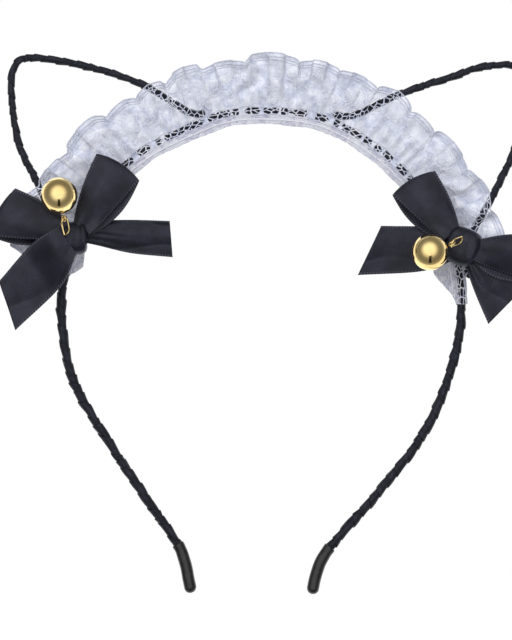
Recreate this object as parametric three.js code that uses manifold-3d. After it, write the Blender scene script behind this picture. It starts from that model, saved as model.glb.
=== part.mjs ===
// Cat-ear costume headband: a sprung wire arch wrapped in narrow black ribbon, two wire ears bound to it,
// a gathered lace trim along the crown, and at each side a satin bow with a jingle bell on a jump ring.
// Millimetres. +X is across the head, -Y is the front, +Z is up; the origin is just under the crown.
import * as THREE from 'three';
import { mergeVertices } from 'three/addons/utils/BufferGeometryUtils.js';
import Module from 'manifold-3d';

const wasm = await Module();
wasm.setup();

// ---- driving dimensions ----
const GAP = 0.3;                    // clearance left between pieces that touch
const WIRE_RADIUS = 0.8;            // spring wire of the arch
const WRAP_BORE = 1.12;             // inside of the ribbon wrap on the arch
const WRAP_RADIUS = 1.5;            // outside of the ribbon wrap on the arch
const WRAP_SHORT_BY = 2.5;          // the wrap stops this far short of the wire's end, inside the cap
const EAR_WIRE_RADIUS = 0.6;
const EAR_WRAP_BORE = 0.92;
const EAR_WRAP_RADIUS = 1.25;
const LEG_JOINT_GAP = 0.9;          // open stretch of wire and wrap at the flexing point of each leg

// Centreline of the arch as [x, z], from the left tip over the crown to the right tip.
const BAND_POINTS = [
  [-24.9, -160.2], [-27.8, -148.1], [-37.2, -133.8], [-53.7, -109.2], [-65.0, -89.5], [-68.8, -72.4],
  [-69.2, -58.0], [-65.6, -42.5], [-57.0, -25.5], [-42.2, -10.7], [-25.5, -1.9], [-11.8, 3.1],
  [3.8, 3.9], [21.1, 1.4], [40.8, -9.7], [55.5, -25.0], [65.5, -42.0], [68.6, -58.0],
  [68.2, -73.0], [61.9, -94.7], [54.8, -108.9], [39.3, -128.6], [27.3, -142.1], [20.3, -151.3],
  [17.6, -160.6],
];
const LEFT_FLEX_NEAR = [-69.3, -64.0];    // where each leg flexes on the arch
const RIGHT_FLEX_NEAR = [68.4, -70.0];

const CAP_LENGTH = 17.5;
const CAP_RADIUS = 2.15;
const CAP_BORE = WRAP_RADIUS + GAP;
const CAP_BORE_SET_BACK = 0.01;     // keeps the end of the bore off the end of the body
const CAP_BORE_OVERRUN = 1.5;       // how far the bore's cutter goes past the mouth

const FOOT_OFFSET = WRAP_RADIUS + 2 * GAP + EAR_WRAP_RADIUS;   // from the arch's centreline to the foot's
const FOOT_LENGTH = 8.4;            // the end of an ear's wire that lies along the arch
const BINDING_LENGTH = 7.0;
const BINDING_WALL = 0.5;
// Each ear: where its feet are bound to the arch, and its bent wire's corners from inner to outer foot.
const LEFT_EAR = {
  innerFoot: [-17.6, 1.2],
  outerFoot: [-67.6, -49.0],
  innerEnd: 1,
  bends: [
    [-29.5, 6.3], [-41.0, 13.2], [-56.0, 18.4], [-75.4, 22.3], [-83.3, 22.0], [-86.3, 17.6],
    [-86.6, 10.0], [-84.0, -7.3], [-78.1, -19.8], [-72.4, -33.0],
  ],
};
const RIGHT_EAR = {
  innerFoot: [22.3, 0.8],
  outerFoot: [67.4, -49.5],
  innerEnd: -1,
  bends: [
    [32.4, 2.9], [37.7, 5.4], [48.7, 10.5], [65.3, 15.9], [75.6, 19.4], [86.4, 20.0], [91.0, 17.6],
    [91.6, 11.5], [90.0, 1.0], [86.4, -10.9], [79.4, -25.6], [73.6, -36.0],
  ],
};

const LACE_LEFT_END_NEAR = [-68.4, -52.0];
const LACE_RIGHT_END_NEAR = [68.6, -62.5];
const LACE_BACK_Y = -2.8;
const LACE_THICKNESS = 4.0;
const LACE_INSIDE = 4.4;            // how far the lace reaches inside the arch's centreline
const LACE_OUTSIDE = 18.3;          // and outside it, to the foot of its scallops
const LACE_SCALLOP = 1.9;
const LACE_SCALLOPS = 22;
const LACE_LEFT_TAPER = 9;          // length over which the lace narrows to its end
const LACE_RIGHT_TAPER = 18;
const LACE_END_OUTSIDE = 3.5;
const LACE_END_INSIDE = 2.0;
const STITCH_HOLE = 1.0;            // radius of the opening through which a bow is sewn on
const THREAD_RADIUS = 0.3;
const THREAD_INSIDE = 3.0;
const THREAD_Y = -2.15;
const THREAD_FROM = 0.03;           // shares of the lace's length between which the thread runs
const THREAD_TO = 0.97;

const BOW_BACK_Y = -7.1;
const TAIL_THICKNESS = 0.6;
const LOOP_BACK_Y = -8.0;
const LOOP_DEPTH = 5.4;
const LOOP_RIBBON = 0.7;
const LOOP_ROOT_HALF = 0.9;         // half the loop's depth where the knot pinches it
const LOOP_ROOT_BORE_HALF = 0.3;
const LOOP_CLOSED = 2.4;            // the loop is solid ribbon this far out from the knot
const LOOP_BELLY_AT = 0.45;         // share of the length at which the side's curve is steered
const LOOP_BELLY = 1.33;            // how far past the half depth it is steered, so that it reaches it
const LOOP_ROOT_WIDTH = 0.42;       // share of the ribbon's width that shows at the knot
const LOOP_WIDE_BY = 0.8;           // share of the length at which the ribbon has its whole width
const KNOT_FRONT_Y = -13.6;
const KNOT_BEVEL = 1.2;
const STITCH_RADIUS = 0.6;
const STEM_Y = -16.0;               // where the ring hangs on the thread
const STEM_RADIUS = 0.25;
const STEM_FRONT_Y = -17.6;
const STEM_BEAD = 0.5;
// Each bow seen from the front: loops as root and the two ends of their fold, the rest as outlines.
const LEFT_BOW = {
  innerLoop: [[-60.6, -35.4], [-57.0, -10.9], [-42.3, -20.3]],
  outerLoop: [[-70.2, -37.2], [-90.2, -23.6], [-90.6, -39.4]],
  innerTail: [[-59.2, -34.6], [-31.8, -33.9], [-30.8, -46.3], [-59.0, -42.0]],
  outerTail: [
    [-69.2, -42.0], [-78.1, -39.8], [-90.6, -54.3], [-85.0, -71.6], [-68.8, -54.3], [-65.6, -46.3],
  ],
  knot: [[-69.0, -37.7], [-65.7, -45.3], [-61.0, -44.2], [-59.6, -38.5], [-62.7, -34.2], [-67.0, -34.6]],
  stitch: [-64.2, -39.8],
  bellThread: [-67.2, -37.2],
};
const RIGHT_BOW = {
  innerLoop: [[61.4, -36.2], [44.9, -25.2], [59.6, -16.9]],
  outerLoop: [[74.8, -45.2], [95.4, -38.6], [91.6, -55.0]],
  innerTail: [[62.8, -42.0], [62.6, -47.8], [52.5, -51.5], [33.0, -52.5], [41.0, -35.6], [58.0, -37.0]],
  outerTail: [[72.0, -50.2], [77.8, -69.4], [90.0, -57.2], [78.6, -47.2], [73.6, -46.8]],
  knot: [[64.6, -36.2], [74.2, -40.3], [72.4, -49.2], [63.4, -47.2]],
  stitch: [66.8, -44.4],
  bellThread: [67.7, -40.8],
};

const BELL_RADIUS = 6.3;
const BELL_WALL = 0.45;
const BELL_Y = -20.0;
const LEFT_BELL_PLACE = [-69.5, -25.4];
const RIGHT_BELL_PLACE = [57.5, -44.8];
const SLOT_WIDTH = 1.1;
const SLOT_REACH = 4.6;
const SLOT_EYE = 1.1;
const SLOT_CUT_AT = BELL_RADIUS * 0.75;   // middle of the slot's cutters, so that they pass the wall
const PELLET_RADIUS = 1.6;
const SHANK_RADIUS = 1.05;
const SHANK_WIRE = 0.34;
const RING_WIRE = 0.38;
const RING_HALF_WIDTH = 1.5;
const RING_BEYOND_STEM = 1.7;       // how far the ring reaches past the thread that it hangs on
const RING_TURN = 45;               // degrees that the ring is turned about its own length

// ---- fineness of the mesh ----
const SAME_PLACE = 1e-4;            // corners nearer than this are one corner
const CURVE_DIVISIONS = 800;        // how finely a curve's length is measured
const SEARCH_STEPS = 900;           // places tried when looking for the nearest one on the arch
const TUBE_SIDES = 8;
const ARCH_STEP = 6.5;              // length of one straight stretch of the arch's tubes
const EAR_STEP = 4.2;
const CAP_STEPS = 7;
const BALL_RINGS = 6;
const BINDING_ARC_STEPS = 6;
const HOLE_ARC_STEPS = 4;
const POINTS_PER_SCALLOP = 4;
const LACE_INSIDE_STEPS = 32;
const THREAD_STEPS = 26;
const LOOP_ARC_STEPS = 8;
const KNOT_BEVEL_STEPS = 2;
const BELL_STEPS = 16;
const SHELL_ARC_POINTS = 6;
const ON_AXIS = 1e-9;               // a radius smaller than this is the pole itself
const RING_WIRE_SIDES = 6;
const RING_STEPS = 20;
const MIDDLE_OF_RING = -1e-6;       // corners of the ring's middle go with its right half
const SHANK_STEPS = 14;

// ---- materials ----
function material(color, roughness, metalness) {
  return new THREE.MeshStandardMaterial({ color, roughness, metalness });
}
const SPRING_STEEL = material(0x8c8f94, 0.35, 1.0);
const WRAP_RIBBON = material(0x15151b, 0.5, 0.0);
const SATIN = material(0x22222c, 0.35, 0.0);
const LACE = material(0xdfe2ee, 0.85, 0.0);
const WHITE_THREAD = material(0xe6e7ee, 0.8, 0.0);
const BLACK_THREAD = material(0x101014, 0.7, 0.0);
const CAP_RUBBER = material(0x0d0d10, 0.25, 0.0);
const BRASS = material(0xd9b25a, 0.12, 1.0);
const PELLET_STEEL = material(0x8a8a8c, 0.4, 1.0);

const part = new THREE.Group();

function add(name, geometry, finish, parent = part) {
  const mesh = new THREE.Mesh(geometry, finish);
  mesh.name = name;
  parent.add(mesh);
  return mesh;
}

// ---- joining and cutting ----
function toSolid(geometry) {
  const bare = geometry.clone();
  bare.deleteAttribute('normal');
  bare.deleteAttribute('uv');
  const merged = mergeVertices(bare, SAME_PLACE);
  return new wasm.Manifold(new wasm.Mesh({
    numProp: 3,
    vertProperties: Float32Array.from(merged.attributes.position.array),
    triVerts: Uint32Array.from(merged.index.array),
  }));
}

function toGeometry(solid) {
  const mesh = solid.getMesh();
  const geometry = new THREE.BufferGeometry();
  geometry.setAttribute('position', new THREE.BufferAttribute(Float32Array.from(mesh.vertProperties), 3));
  geometry.setIndex(Array.from(mesh.triVerts));
  return geometry;
}

// ---- curves ----
function inPlane([x, z], y = 0) {
  return new THREE.Vector3(x, y, z);
}

// A stretch of a longer curve, by share of its length.
class Stretch extends THREE.Curve {
  constructor(whole, from, to) {
    super();
    Object.assign(this, { whole, from, to });
  }

  getPoint(t, target = new THREE.Vector3()) {
    return target.copy(this.whole.getPointAt(THREE.MathUtils.lerp(this.from, this.to, t)));
  }
}

const band = new THREE.CatmullRomCurve3(BAND_POINTS.map((p) => inPlane(p)), false, 'centripetal');
band.arcLengthDivisions = CURVE_DIVISIONS;
const BAND_LENGTH = band.getLength();

// The share of the arch's length that is nearest to a place.
function shareNear(place) {
  const target = inPlane(place);
  let best = 0;
  let least = Infinity;
  for (let i = 0; i <= SEARCH_STEPS; i += 1) {
    const share = i / SEARCH_STEPS;
    const distance = band.getPointAt(share).distanceTo(target);
    if (distance < least) {
      least = distance;
      best = share;
    }
  }
  return best;
}

// A point beside the arch: outward is away from the head.
function beside(share, outward, y = 0) {
  const point = band.getPointAt(share);
  const along = band.getTangentAt(share);
  return new THREE.Vector3(point.x - along.z * outward, y, point.z + along.x * outward);
}

// ---- tubes ----
function circle(radius) {
  const shape = new THREE.Shape();
  shape.absarc(0, 0, radius, 0, Math.PI * 2, false);
  return shape;
}

function sweep(shape, path, steps) {
  return new THREE.ExtrudeGeometry(shape, {
    extrudePath: path, steps, curveSegments: TUBE_SIDES / 2,
  });
}

function rod(path, radius, steps) {
  return sweep(circle(radius), path, steps);
}

function sleeve(path, bore, radius, steps) {
  const shape = circle(radius);
  shape.holes.push(circle(bore));
  return sweep(shape, path, steps);
}

// ---- the arch: crown and two legs, each a wire core inside its ribbon wrap ----
const leftFlex = shareNear(LEFT_FLEX_NEAR);
const rightFlex = shareNear(RIGHT_FLEX_NEAR);
const halfJoint = LEG_JOINT_GAP / 2 / BAND_LENGTH;
const WRAP_END = WRAP_SHORT_BY / BAND_LENGTH;

function archStretch(name, from, to, wrapFrom, wrapTo) {
  const steps = Math.ceil(((to - from) * BAND_LENGTH) / ARCH_STEP);
  add(`${name}_wire`, rod(new Stretch(band, from, to), WIRE_RADIUS, steps), SPRING_STEEL);
  add(`${name}_ribbon_wrap`, sleeve(new Stretch(band, wrapFrom, wrapTo), WRAP_BORE, WRAP_RADIUS, steps),
    WRAP_RIBBON);
}
const crownFrom = leftFlex + halfJoint;
const crownTo = rightFlex - halfJoint;
const leftLegTo = leftFlex - halfJoint;
const rightLegFrom = rightFlex + halfJoint;
archStretch('crown', crownFrom, crownTo, crownFrom, crownTo);
archStretch('left_leg', 0, leftLegTo, WRAP_END, leftLegTo);
archStretch('right_leg', rightLegFrom, 1, rightLegFrom, 1 - WRAP_END);

// ---- end caps: soft moulded sleeves with a round closed end, pushed over the wrapped tips ----

function ballAt(place, radius) {
  const ball = new THREE.SphereGeometry(radius, TUBE_SIDES, BALL_RINGS);
  ball.translate(place.x, place.y, place.z);
  return toSolid(ball);
}

function endCap(name, tipShare, inward) {
  const mouthShare = tipShare + (inward * CAP_LENGTH) / BAND_LENGTH;
  const pastMouth = mouthShare + (inward * CAP_BORE_OVERRUN) / BAND_LENGTH;
  const boreEnd = tipShare + (inward * CAP_BORE_SET_BACK) / BAND_LENGTH;
  const tip = band.getPointAt(tipShare);
  const body = toSolid(rod(new Stretch(band, tipShare, mouthShare), CAP_RADIUS, CAP_STEPS));
  const bore = toSolid(rod(new Stretch(band, boreEnd, pastMouth), CAP_BORE, CAP_STEPS));
  const hollow = bore.add(ballAt(tip, CAP_BORE));
  add(name, toGeometry(body.add(ballAt(tip, CAP_RADIUS)).subtract(hollow)), CAP_RUBBER);
}
endCap('left_end_cap', 0, 1);
endCap('right_end_cap', 1, -1);

// ---- ears: one wrapped wire each, both feet lying along the arch inside a binding ----
const FOOT_HALF = FOOT_LENGTH / 2 / BAND_LENGTH;

// The two points of a foot that lies along the arch, the end of the wire first.
function footPoints(near, endSide) {
  const share = shareNear(near);
  return [endSide, -endSide].map((side) => beside(share + side * FOOT_HALF, FOOT_OFFSET));
}

function binding(name, near) {
  const share = shareNear(near);
  const reach = WRAP_RADIUS + GAP;
  const stadium = (radius) => {
    const shape = new THREE.Shape();
    shape.absarc(0, 0, radius, Math.PI, Math.PI * 2, false);
    shape.absarc(0, FOOT_OFFSET, radius, 0, Math.PI, false);
    shape.closePath();
    return shape;
  };
  const shape = stadium(reach + BINDING_WALL);
  shape.holes.push(stadium(reach));
  const geometry = new THREE.ExtrudeGeometry(shape, {
    depth: BINDING_LENGTH, bevelEnabled: false, curveSegments: BINDING_ARC_STEPS,
  });
  geometry.translate(0, 0, -BINDING_LENGTH / 2);
  const along = band.getTangentAt(share);
  const outward = new THREE.Vector3(-along.z, 0, along.x);
  const across = new THREE.Vector3().crossVectors(outward, along);
  const frame = new THREE.Matrix4().makeBasis(across, outward, along);
  geometry.applyMatrix4(frame.setPosition(band.getPointAt(share)));
  add(name, geometry, WRAP_RIBBON);
}

function ear(side, design) {
  const inner = footPoints(design.innerFoot, design.innerEnd);
  const outer = footPoints(design.outerFoot, -design.innerEnd);
  const points = [...inner, ...design.bends.map((p) => inPlane(p)), outer[1], outer[0]];
  const path = new THREE.CatmullRomCurve3(points, false, 'centripetal');
  path.arcLengthDivisions = CURVE_DIVISIONS;
  const steps = Math.ceil(path.getLength() / EAR_STEP);
  add(`${side}_ear_wire`, rod(path, EAR_WIRE_RADIUS, steps), SPRING_STEEL);
  add(`${side}_ear_ribbon_wrap`, sleeve(path, EAR_WRAP_BORE, EAR_WRAP_RADIUS, steps), WRAP_RIBBON);
  binding(`${side}_ear_inner_binding`, design.innerFoot);
  binding(`${side}_ear_outer_binding`, design.outerFoot);
}
ear('left', LEFT_EAR);
ear('right', RIGHT_EAR);

// ---- lace trim: gathered along the arch, in front of the wires, with scalloped outer edge ----
const laceFrom = shareNear(LACE_LEFT_END_NEAR);
const laceTo = shareNear(LACE_RIGHT_END_NEAR);
const LACE_LENGTH = (laceTo - laceFrom) * BAND_LENGTH;

// 0 at either end of the lace, 1 past the tapered stretch there.
function laceFullness(t) {
  const fromLeft = (t * LACE_LENGTH) / LACE_LEFT_TAPER;
  const fromRight = ((1 - t) * LACE_LENGTH) / LACE_RIGHT_TAPER;
  return Math.min(1, fromLeft, fromRight);
}

function laceEdge(t, outward) {
  const point = beside(THREE.MathUtils.lerp(laceFrom, laceTo, t), outward);
  return new THREE.Vector2(point.x, point.z);
}

function flatSolid(shape, backY, thickness) {
  const geometry = new THREE.ExtrudeGeometry(shape, {
    depth: thickness, bevelEnabled: false, curveSegments: HOLE_ARC_STEPS,
  });
  geometry.rotateX(Math.PI / 2);
  geometry.translate(0, backY, 0);
  return geometry;
}

function laceTrim(stitches) {
  const outline = [];
  const outerSteps = LACE_SCALLOPS * POINTS_PER_SCALLOP;
  for (let i = 0; i <= outerSteps; i += 1) {
    const t = i / outerSteps;
    const scallop = LACE_SCALLOP * Math.abs(Math.sin(Math.PI * LACE_SCALLOPS * t));
    const full = LACE_OUTSIDE + scallop;
    outline.push(laceEdge(t, THREE.MathUtils.lerp(LACE_END_OUTSIDE, full, laceFullness(t))));
  }
  for (let i = LACE_INSIDE_STEPS; i >= 0; i -= 1) {
    const t = i / LACE_INSIDE_STEPS;
    outline.push(laceEdge(t, -THREE.MathUtils.lerp(LACE_END_INSIDE, LACE_INSIDE, laceFullness(t))));
  }
  const shape = new THREE.Shape(outline);
  for (const [x, z] of stitches) {
    const hole = new THREE.Path();
    hole.absarc(x, z, STITCH_HOLE, 0, Math.PI * 2, false);
    shape.holes.push(hole);
  }
  add('lace_trim', flatSolid(shape, LACE_BACK_Y, LACE_THICKNESS), LACE);
}

function gatheringThread() {
  const points = [];
  for (let i = 0; i <= THREAD_STEPS; i += 1) {
    const alongLace = THREE.MathUtils.lerp(THREAD_FROM, THREAD_TO, i / THREAD_STEPS);
    const share = THREE.MathUtils.lerp(laceFrom, laceTo, alongLace);
    points.push(beside(share, -THREAD_INSIDE, THREAD_Y));
  }
  const path = new THREE.CatmullRomCurve3(points, false, 'centripetal');
  add('gathering_thread', rod(path, THREAD_RADIUS, THREAD_STEPS), WHITE_THREAD);
}

// ---- bows: two loops, two tails, a knot and the stitch that sews the bow to the arch ----

// The side view of a loop: a long drop shape with its point at the knot.
function loopProfile(path, reach, half, rootHalf, from, bellyAt) {
  const belly = half * LOOP_BELLY;
  path.moveTo(from, -rootHalf);
  path.bezierCurveTo(bellyAt, -belly, reach, -belly, reach, 0);
  path.bezierCurveTo(reach, belly, bellyAt, belly, from, rootHalf);
  path.closePath();
  return path;
}

// A loop is a ribbon folded back on itself: length runs out from the knot, the fold is at the far end.
function bowLoop(name, root, foldA, foldB) {
  const start = inPlane(root);
  const ends = [inPlane(foldA), inPlane(foldB)];
  const middle = ends[0].clone().add(ends[1]).multiplyScalar(0.5);
  const length = middle.distanceTo(start);
  const outward = middle.clone().sub(start).normalize();
  const across = ends[1].clone().sub(ends[0]);
  if (outward.z * across.x > outward.x * across.z) {
    across.negate();
  }
  const halfDepth = LOOP_DEPTH / 2;
  const bellyAt = length * LOOP_BELLY_AT;
  const shape = loopProfile(new THREE.Shape(), length, halfDepth, LOOP_ROOT_HALF, 0, bellyAt);
  const bore = loopProfile(new THREE.Path(), length - LOOP_RIBBON, halfDepth - LOOP_RIBBON,
    LOOP_ROOT_BORE_HALF, LOOP_CLOSED, bellyAt);
  shape.holes.push(bore);
  const geometry = new THREE.ExtrudeGeometry(shape, {
    depth: 1, steps: 2, bevelEnabled: false, curveSegments: LOOP_ARC_STEPS,
  });
  const position = geometry.attributes.position;
  const point = new THREE.Vector3();
  for (let i = 0; i < position.count; i += 1) {
    const out = position.getX(i);
    const depth = position.getY(i);
    const opened = THREE.MathUtils.smoothstep(out / length, 0, LOOP_WIDE_BY);
    const spread = THREE.MathUtils.lerp(LOOP_ROOT_WIDTH, 1, opened);
    point.copy(start)
      .addScaledVector(outward, out)
      .addScaledVector(across, (position.getZ(i) - 0.5) * spread);
    position.setXYZ(i, point.x, LOOP_BACK_Y - halfDepth + depth, point.z);
  }
  geometry.computeVertexNormals();
  add(name, geometry, SATIN);
}

function outlineShape(outline) {
  return new THREE.Shape(outline.map(([x, z]) => new THREE.Vector2(x, z)));
}

function bowTail(name, outline) {
  add(name, flatSolid(outlineShape(outline), BOW_BACK_Y, TAIL_THICKNESS), SATIN);
}

function bowKnot(name, outline) {
  const depth = BOW_BACK_Y - KNOT_FRONT_Y - 2 * KNOT_BEVEL;
  const geometry = new THREE.ExtrudeGeometry(outlineShape(outline), {
    depth,
    bevelEnabled: true,
    bevelThickness: KNOT_BEVEL,
    bevelSize: KNOT_BEVEL,
    bevelOffset: -KNOT_BEVEL,
    bevelSegments: KNOT_BEVEL_STEPS,
  });
  geometry.rotateX(Math.PI / 2);
  geometry.translate(0, BOW_BACK_Y - KNOT_BEVEL, 0);
  add(name, geometry, SATIN);
}

function pinAlongY(name, [x, z], backY, frontY, radius, finish, bead = 0) {
  const length = backY - frontY;
  const pin = new THREE.CylinderGeometry(radius, radius, length, TUBE_SIDES);
  pin.translate(x, (backY + frontY) / 2, z);
  if (!bead) {
    add(name, pin, finish);
    return;
  }
  const ball = new THREE.SphereGeometry(bead, TUBE_SIDES, BALL_RINGS);
  ball.translate(x, frontY, z);
  add(name, toGeometry(toSolid(pin).add(toSolid(ball))), finish);
}

function bow(side, design) {
  bowLoop(`${side}_bow_inner_loop`, ...design.innerLoop);
  bowLoop(`${side}_bow_outer_loop`, ...design.outerLoop);
  bowTail(`${side}_bow_inner_tail`, design.innerTail);
  bowTail(`${side}_bow_outer_tail`, design.outerTail);
  bowKnot(`${side}_bow_knot`, design.knot);
  pinAlongY(`${side}_bow_stitch`, design.stitch, -WRAP_RADIUS - GAP, BOW_BACK_Y + GAP, STITCH_RADIUS,
    BLACK_THREAD);
  pinAlongY(`${side}_bell_thread`, design.bellThread, KNOT_FRONT_Y - GAP, STEM_FRONT_Y, STEM_RADIUS,
    BLACK_THREAD, STEM_BEAD);
}

// ---- bells: two pressed shells, a shank eye, a loose pellet and an oval jump ring ----

// One half of the hollow ball, its pole along +Y before placing; GAP parts the two at the equator.
function halfShell(pole) {
  const profile = [];
  const outer = BELL_RADIUS;
  const inner = BELL_RADIUS - BELL_WALL;
  const lowest = (radius) => Math.asin(GAP / 2 / radius);
  for (let i = 0; i <= SHELL_ARC_POINTS; i += 1) {
    const angle = THREE.MathUtils.lerp(lowest(outer), Math.PI / 2, i / SHELL_ARC_POINTS);
    profile.push(new THREE.Vector2(outer * Math.cos(angle), pole * outer * Math.sin(angle)));
  }
  for (let i = SHELL_ARC_POINTS; i >= 0; i -= 1) {
    const angle = THREE.MathUtils.lerp(lowest(inner), Math.PI / 2, i / SHELL_ARC_POINTS);
    profile.push(new THREE.Vector2(inner * Math.cos(angle), pole * inner * Math.sin(angle)));
  }
  profile.push(profile[0].clone());
  for (const corner of profile) {
    if (Math.abs(corner.x) < ON_AXIS) {
      corner.x = 0;
    }
  }
  if (pole < 0) {
    profile.reverse();
  }
  return new THREE.LatheGeometry(profile, BELL_STEPS);
}

function slottedShell() {
  let shell = toSolid(halfShell(1));
  const slot = new THREE.BoxGeometry(2 * SLOT_REACH, BELL_RADIUS, SLOT_WIDTH);
  slot.translate(0, SLOT_CUT_AT, 0);
  shell = shell.subtract(toSolid(slot));
  for (const end of [-1, 1]) {
    const eye = new THREE.CylinderGeometry(SLOT_EYE, SLOT_EYE, BELL_RADIUS, TUBE_SIDES);
    eye.translate(end * SLOT_REACH, SLOT_CUT_AT, 0);
    shell = shell.subtract(toSolid(eye));
  }
  return toGeometry(shell);
}

// A torus drawn out into an oval of the given centreline length, its long axis along X.
function ovalRing(length, halfWidth, wire) {
  const ring = new THREE.TorusGeometry(halfWidth, wire, RING_WIRE_SIDES, RING_STEPS);
  const stretch = length / 2 - halfWidth;
  const position = ring.attributes.position;
  for (let i = 0; i < position.count; i += 1) {
    const x = position.getX(i);
    position.setX(i, x + (x > MIDDLE_OF_RING ? stretch : -stretch));
  }
  return ring;
}

function placed(geometry, xAxis, yAxis, zAxis, origin) {
  geometry.applyMatrix4(new THREE.Matrix4().makeBasis(xAxis, yAxis, zAxis).setPosition(origin));
  return geometry;
}

function bell(side, stemPlace, bellPlace, turn) {
  const stem = inPlane(stemPlace, STEM_Y);
  const away = inPlane(bellPlace).sub(inPlane(stemPlace));
  const eyeReach = away.length() - (BELL_RADIUS + GAP + SHANK_WIRE + SHANK_RADIUS);
  const axis = away.clone().normalize();
  const centre = inPlane(bellPlace, BELL_Y);
  const eye = stem.clone().addScaledVector(axis, eyeReach).setY(BELL_Y);
  const level = new THREE.Vector3(-axis.z, 0, axis.x);

  const along = eye.clone().sub(stem);
  const reach = along.length();
  along.normalize();
  const turnAngle = THREE.MathUtils.degToRad(turn);
  const width = level.clone().applyAxisAngle(along, turnAngle);
  const face = new THREE.Vector3().crossVectors(along, width);
  const ringMiddle = stem.clone().addScaledVector(along, (reach - RING_BEYOND_STEM) / 2);
  const ring = ovalRing(reach + RING_BEYOND_STEM, RING_HALF_WIDTH, RING_WIRE);
  add(`${side}_jump_ring`, placed(ring, along, width, face, ringMiddle), BRASS);

  const eyeFace = new THREE.Vector3().crossVectors(axis, width).normalize();
  const eyeNormal = new THREE.Vector3().crossVectors(axis, eyeFace).normalize();
  const shank = new THREE.TorusGeometry(SHANK_RADIUS, SHANK_WIRE, RING_WIRE_SIDES, SHANK_STEPS);
  add(`${side}_bell_shank`, placed(shank, axis, eyeFace, eyeNormal, eye), BRASS);

  const front = new THREE.Vector3(0, -1, 0);
  const slotLine = new THREE.Vector3().crossVectors(axis, front);
  const shellFrame = [slotLine, axis, slotLine.clone().cross(axis), centre];
  add(`${side}_bell_upper_shell`, placed(halfShell(-1), ...shellFrame), BRASS);
  add(`${side}_bell_lower_shell`, placed(slottedShell(), ...shellFrame), BRASS);
  const pellet = new THREE.IcosahedronGeometry(PELLET_RADIUS, 1);
  pellet.translate(centre.x, centre.y, centre.z);
  add(`${side}_bell_pellet`, pellet, PELLET_STEEL);
}

laceTrim([LEFT_BOW.stitch, RIGHT_BOW.stitch]);
gatheringThread();
bow('left', LEFT_BOW);
bow('right', RIGHT_BOW);
bell('left', LEFT_BOW.bellThread, LEFT_BELL_PLACE, RING_TURN);
bell('right', RIGHT_BOW.bellThread, RIGHT_BELL_PLACE, -RING_TURN);

export default part;
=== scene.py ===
import math

import bmesh
import bpy
import numpy as np
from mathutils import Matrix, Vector, noise


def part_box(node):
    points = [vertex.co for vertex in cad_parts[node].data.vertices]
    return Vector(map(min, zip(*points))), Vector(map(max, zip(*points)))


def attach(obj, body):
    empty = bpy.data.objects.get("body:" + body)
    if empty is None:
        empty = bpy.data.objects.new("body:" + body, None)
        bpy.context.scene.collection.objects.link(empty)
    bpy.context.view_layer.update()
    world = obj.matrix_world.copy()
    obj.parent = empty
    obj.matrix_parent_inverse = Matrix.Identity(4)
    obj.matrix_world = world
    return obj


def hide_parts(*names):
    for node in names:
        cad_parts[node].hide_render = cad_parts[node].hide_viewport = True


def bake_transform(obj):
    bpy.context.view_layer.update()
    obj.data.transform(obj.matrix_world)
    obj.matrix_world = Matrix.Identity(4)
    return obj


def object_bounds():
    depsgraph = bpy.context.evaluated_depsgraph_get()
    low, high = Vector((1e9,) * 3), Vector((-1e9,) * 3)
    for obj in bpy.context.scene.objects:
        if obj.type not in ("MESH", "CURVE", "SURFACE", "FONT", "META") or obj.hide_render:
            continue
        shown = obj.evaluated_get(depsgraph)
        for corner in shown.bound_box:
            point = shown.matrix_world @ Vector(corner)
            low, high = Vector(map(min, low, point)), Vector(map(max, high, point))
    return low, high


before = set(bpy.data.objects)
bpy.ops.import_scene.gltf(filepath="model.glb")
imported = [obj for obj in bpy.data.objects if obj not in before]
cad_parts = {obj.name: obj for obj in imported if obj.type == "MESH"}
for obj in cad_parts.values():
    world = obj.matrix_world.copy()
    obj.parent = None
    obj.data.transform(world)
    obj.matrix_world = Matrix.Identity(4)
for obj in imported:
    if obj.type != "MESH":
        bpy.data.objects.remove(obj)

cad_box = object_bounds()

# ---------------------------------------------------------------- spring wire
# One hard steel wire, 1.6 mm thick, bent cold into the arch. It is never seen, because a ribbon
# is wound over it, but it is what the wearer pulls open.

MM = 0.001
WIRE_RADIUS = 0.8 * MM
WIRE_TIP_MARGIN = 2.0 * MM
ROD_CORNERS_NEAR = 1.0 * MM  # corners of one cross-section of a rod lie closer together than this
NEAR_CROWN_LEFT = (-70 * MM, 0, -70 * MM)  # a place near the left end of the crown's wire
NEAR_CROWN_TOP = (0, 0, 4 * MM)  # a place near the middle of it
FRONT = np.array([0.0, -1.0, 0.0])
STEEL_SHADES = (0.3, (0.21, 0.21, 0.22)), (0.7, (0.36, 0.36, 0.37))


def corners_of(node):
    """The corners of a solid that the headband is designed with."""
    return np.array([v.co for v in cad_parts[node].data.vertices], float)


def rod_line(node, tip):
    """The middle line of a round rod, from the end nearest to tip.

    The corners fall into rings round the rod; each ring's middle is a place on the line."""
    corners = np.unique(np.round(corners_of(node), 6), axis=0)
    near = np.linalg.norm(corners[:, None] - corners[None], axis=2) < ROD_CORNERS_NEAR
    middles = []
    waiting = np.ones(len(corners), bool)
    while waiting.any():
        ring = np.zeros(len(corners), bool)
        ring[np.argmax(waiting)] = True
        grown = near[ring].any(axis=0) & waiting
        while (grown != ring).any():
            ring = grown
            grown = near[ring].any(axis=0) & waiting
        middles.append(corners[ring].mean(axis=0))
        waiting &= ~ring
    walk = [np.asarray(tip)]
    while middles:
        nearest = min(range(len(middles)), key=lambda i: np.linalg.norm(middles[i] - walk[-1]))
        walk.append(middles.pop(nearest))
    return np.array(walk[1:])


def length_along(points):
    """The length run up to each point of a path."""
    return np.concatenate([[0], np.cumsum(np.linalg.norm(np.diff(points, axis=0), axis=1))])


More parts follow.
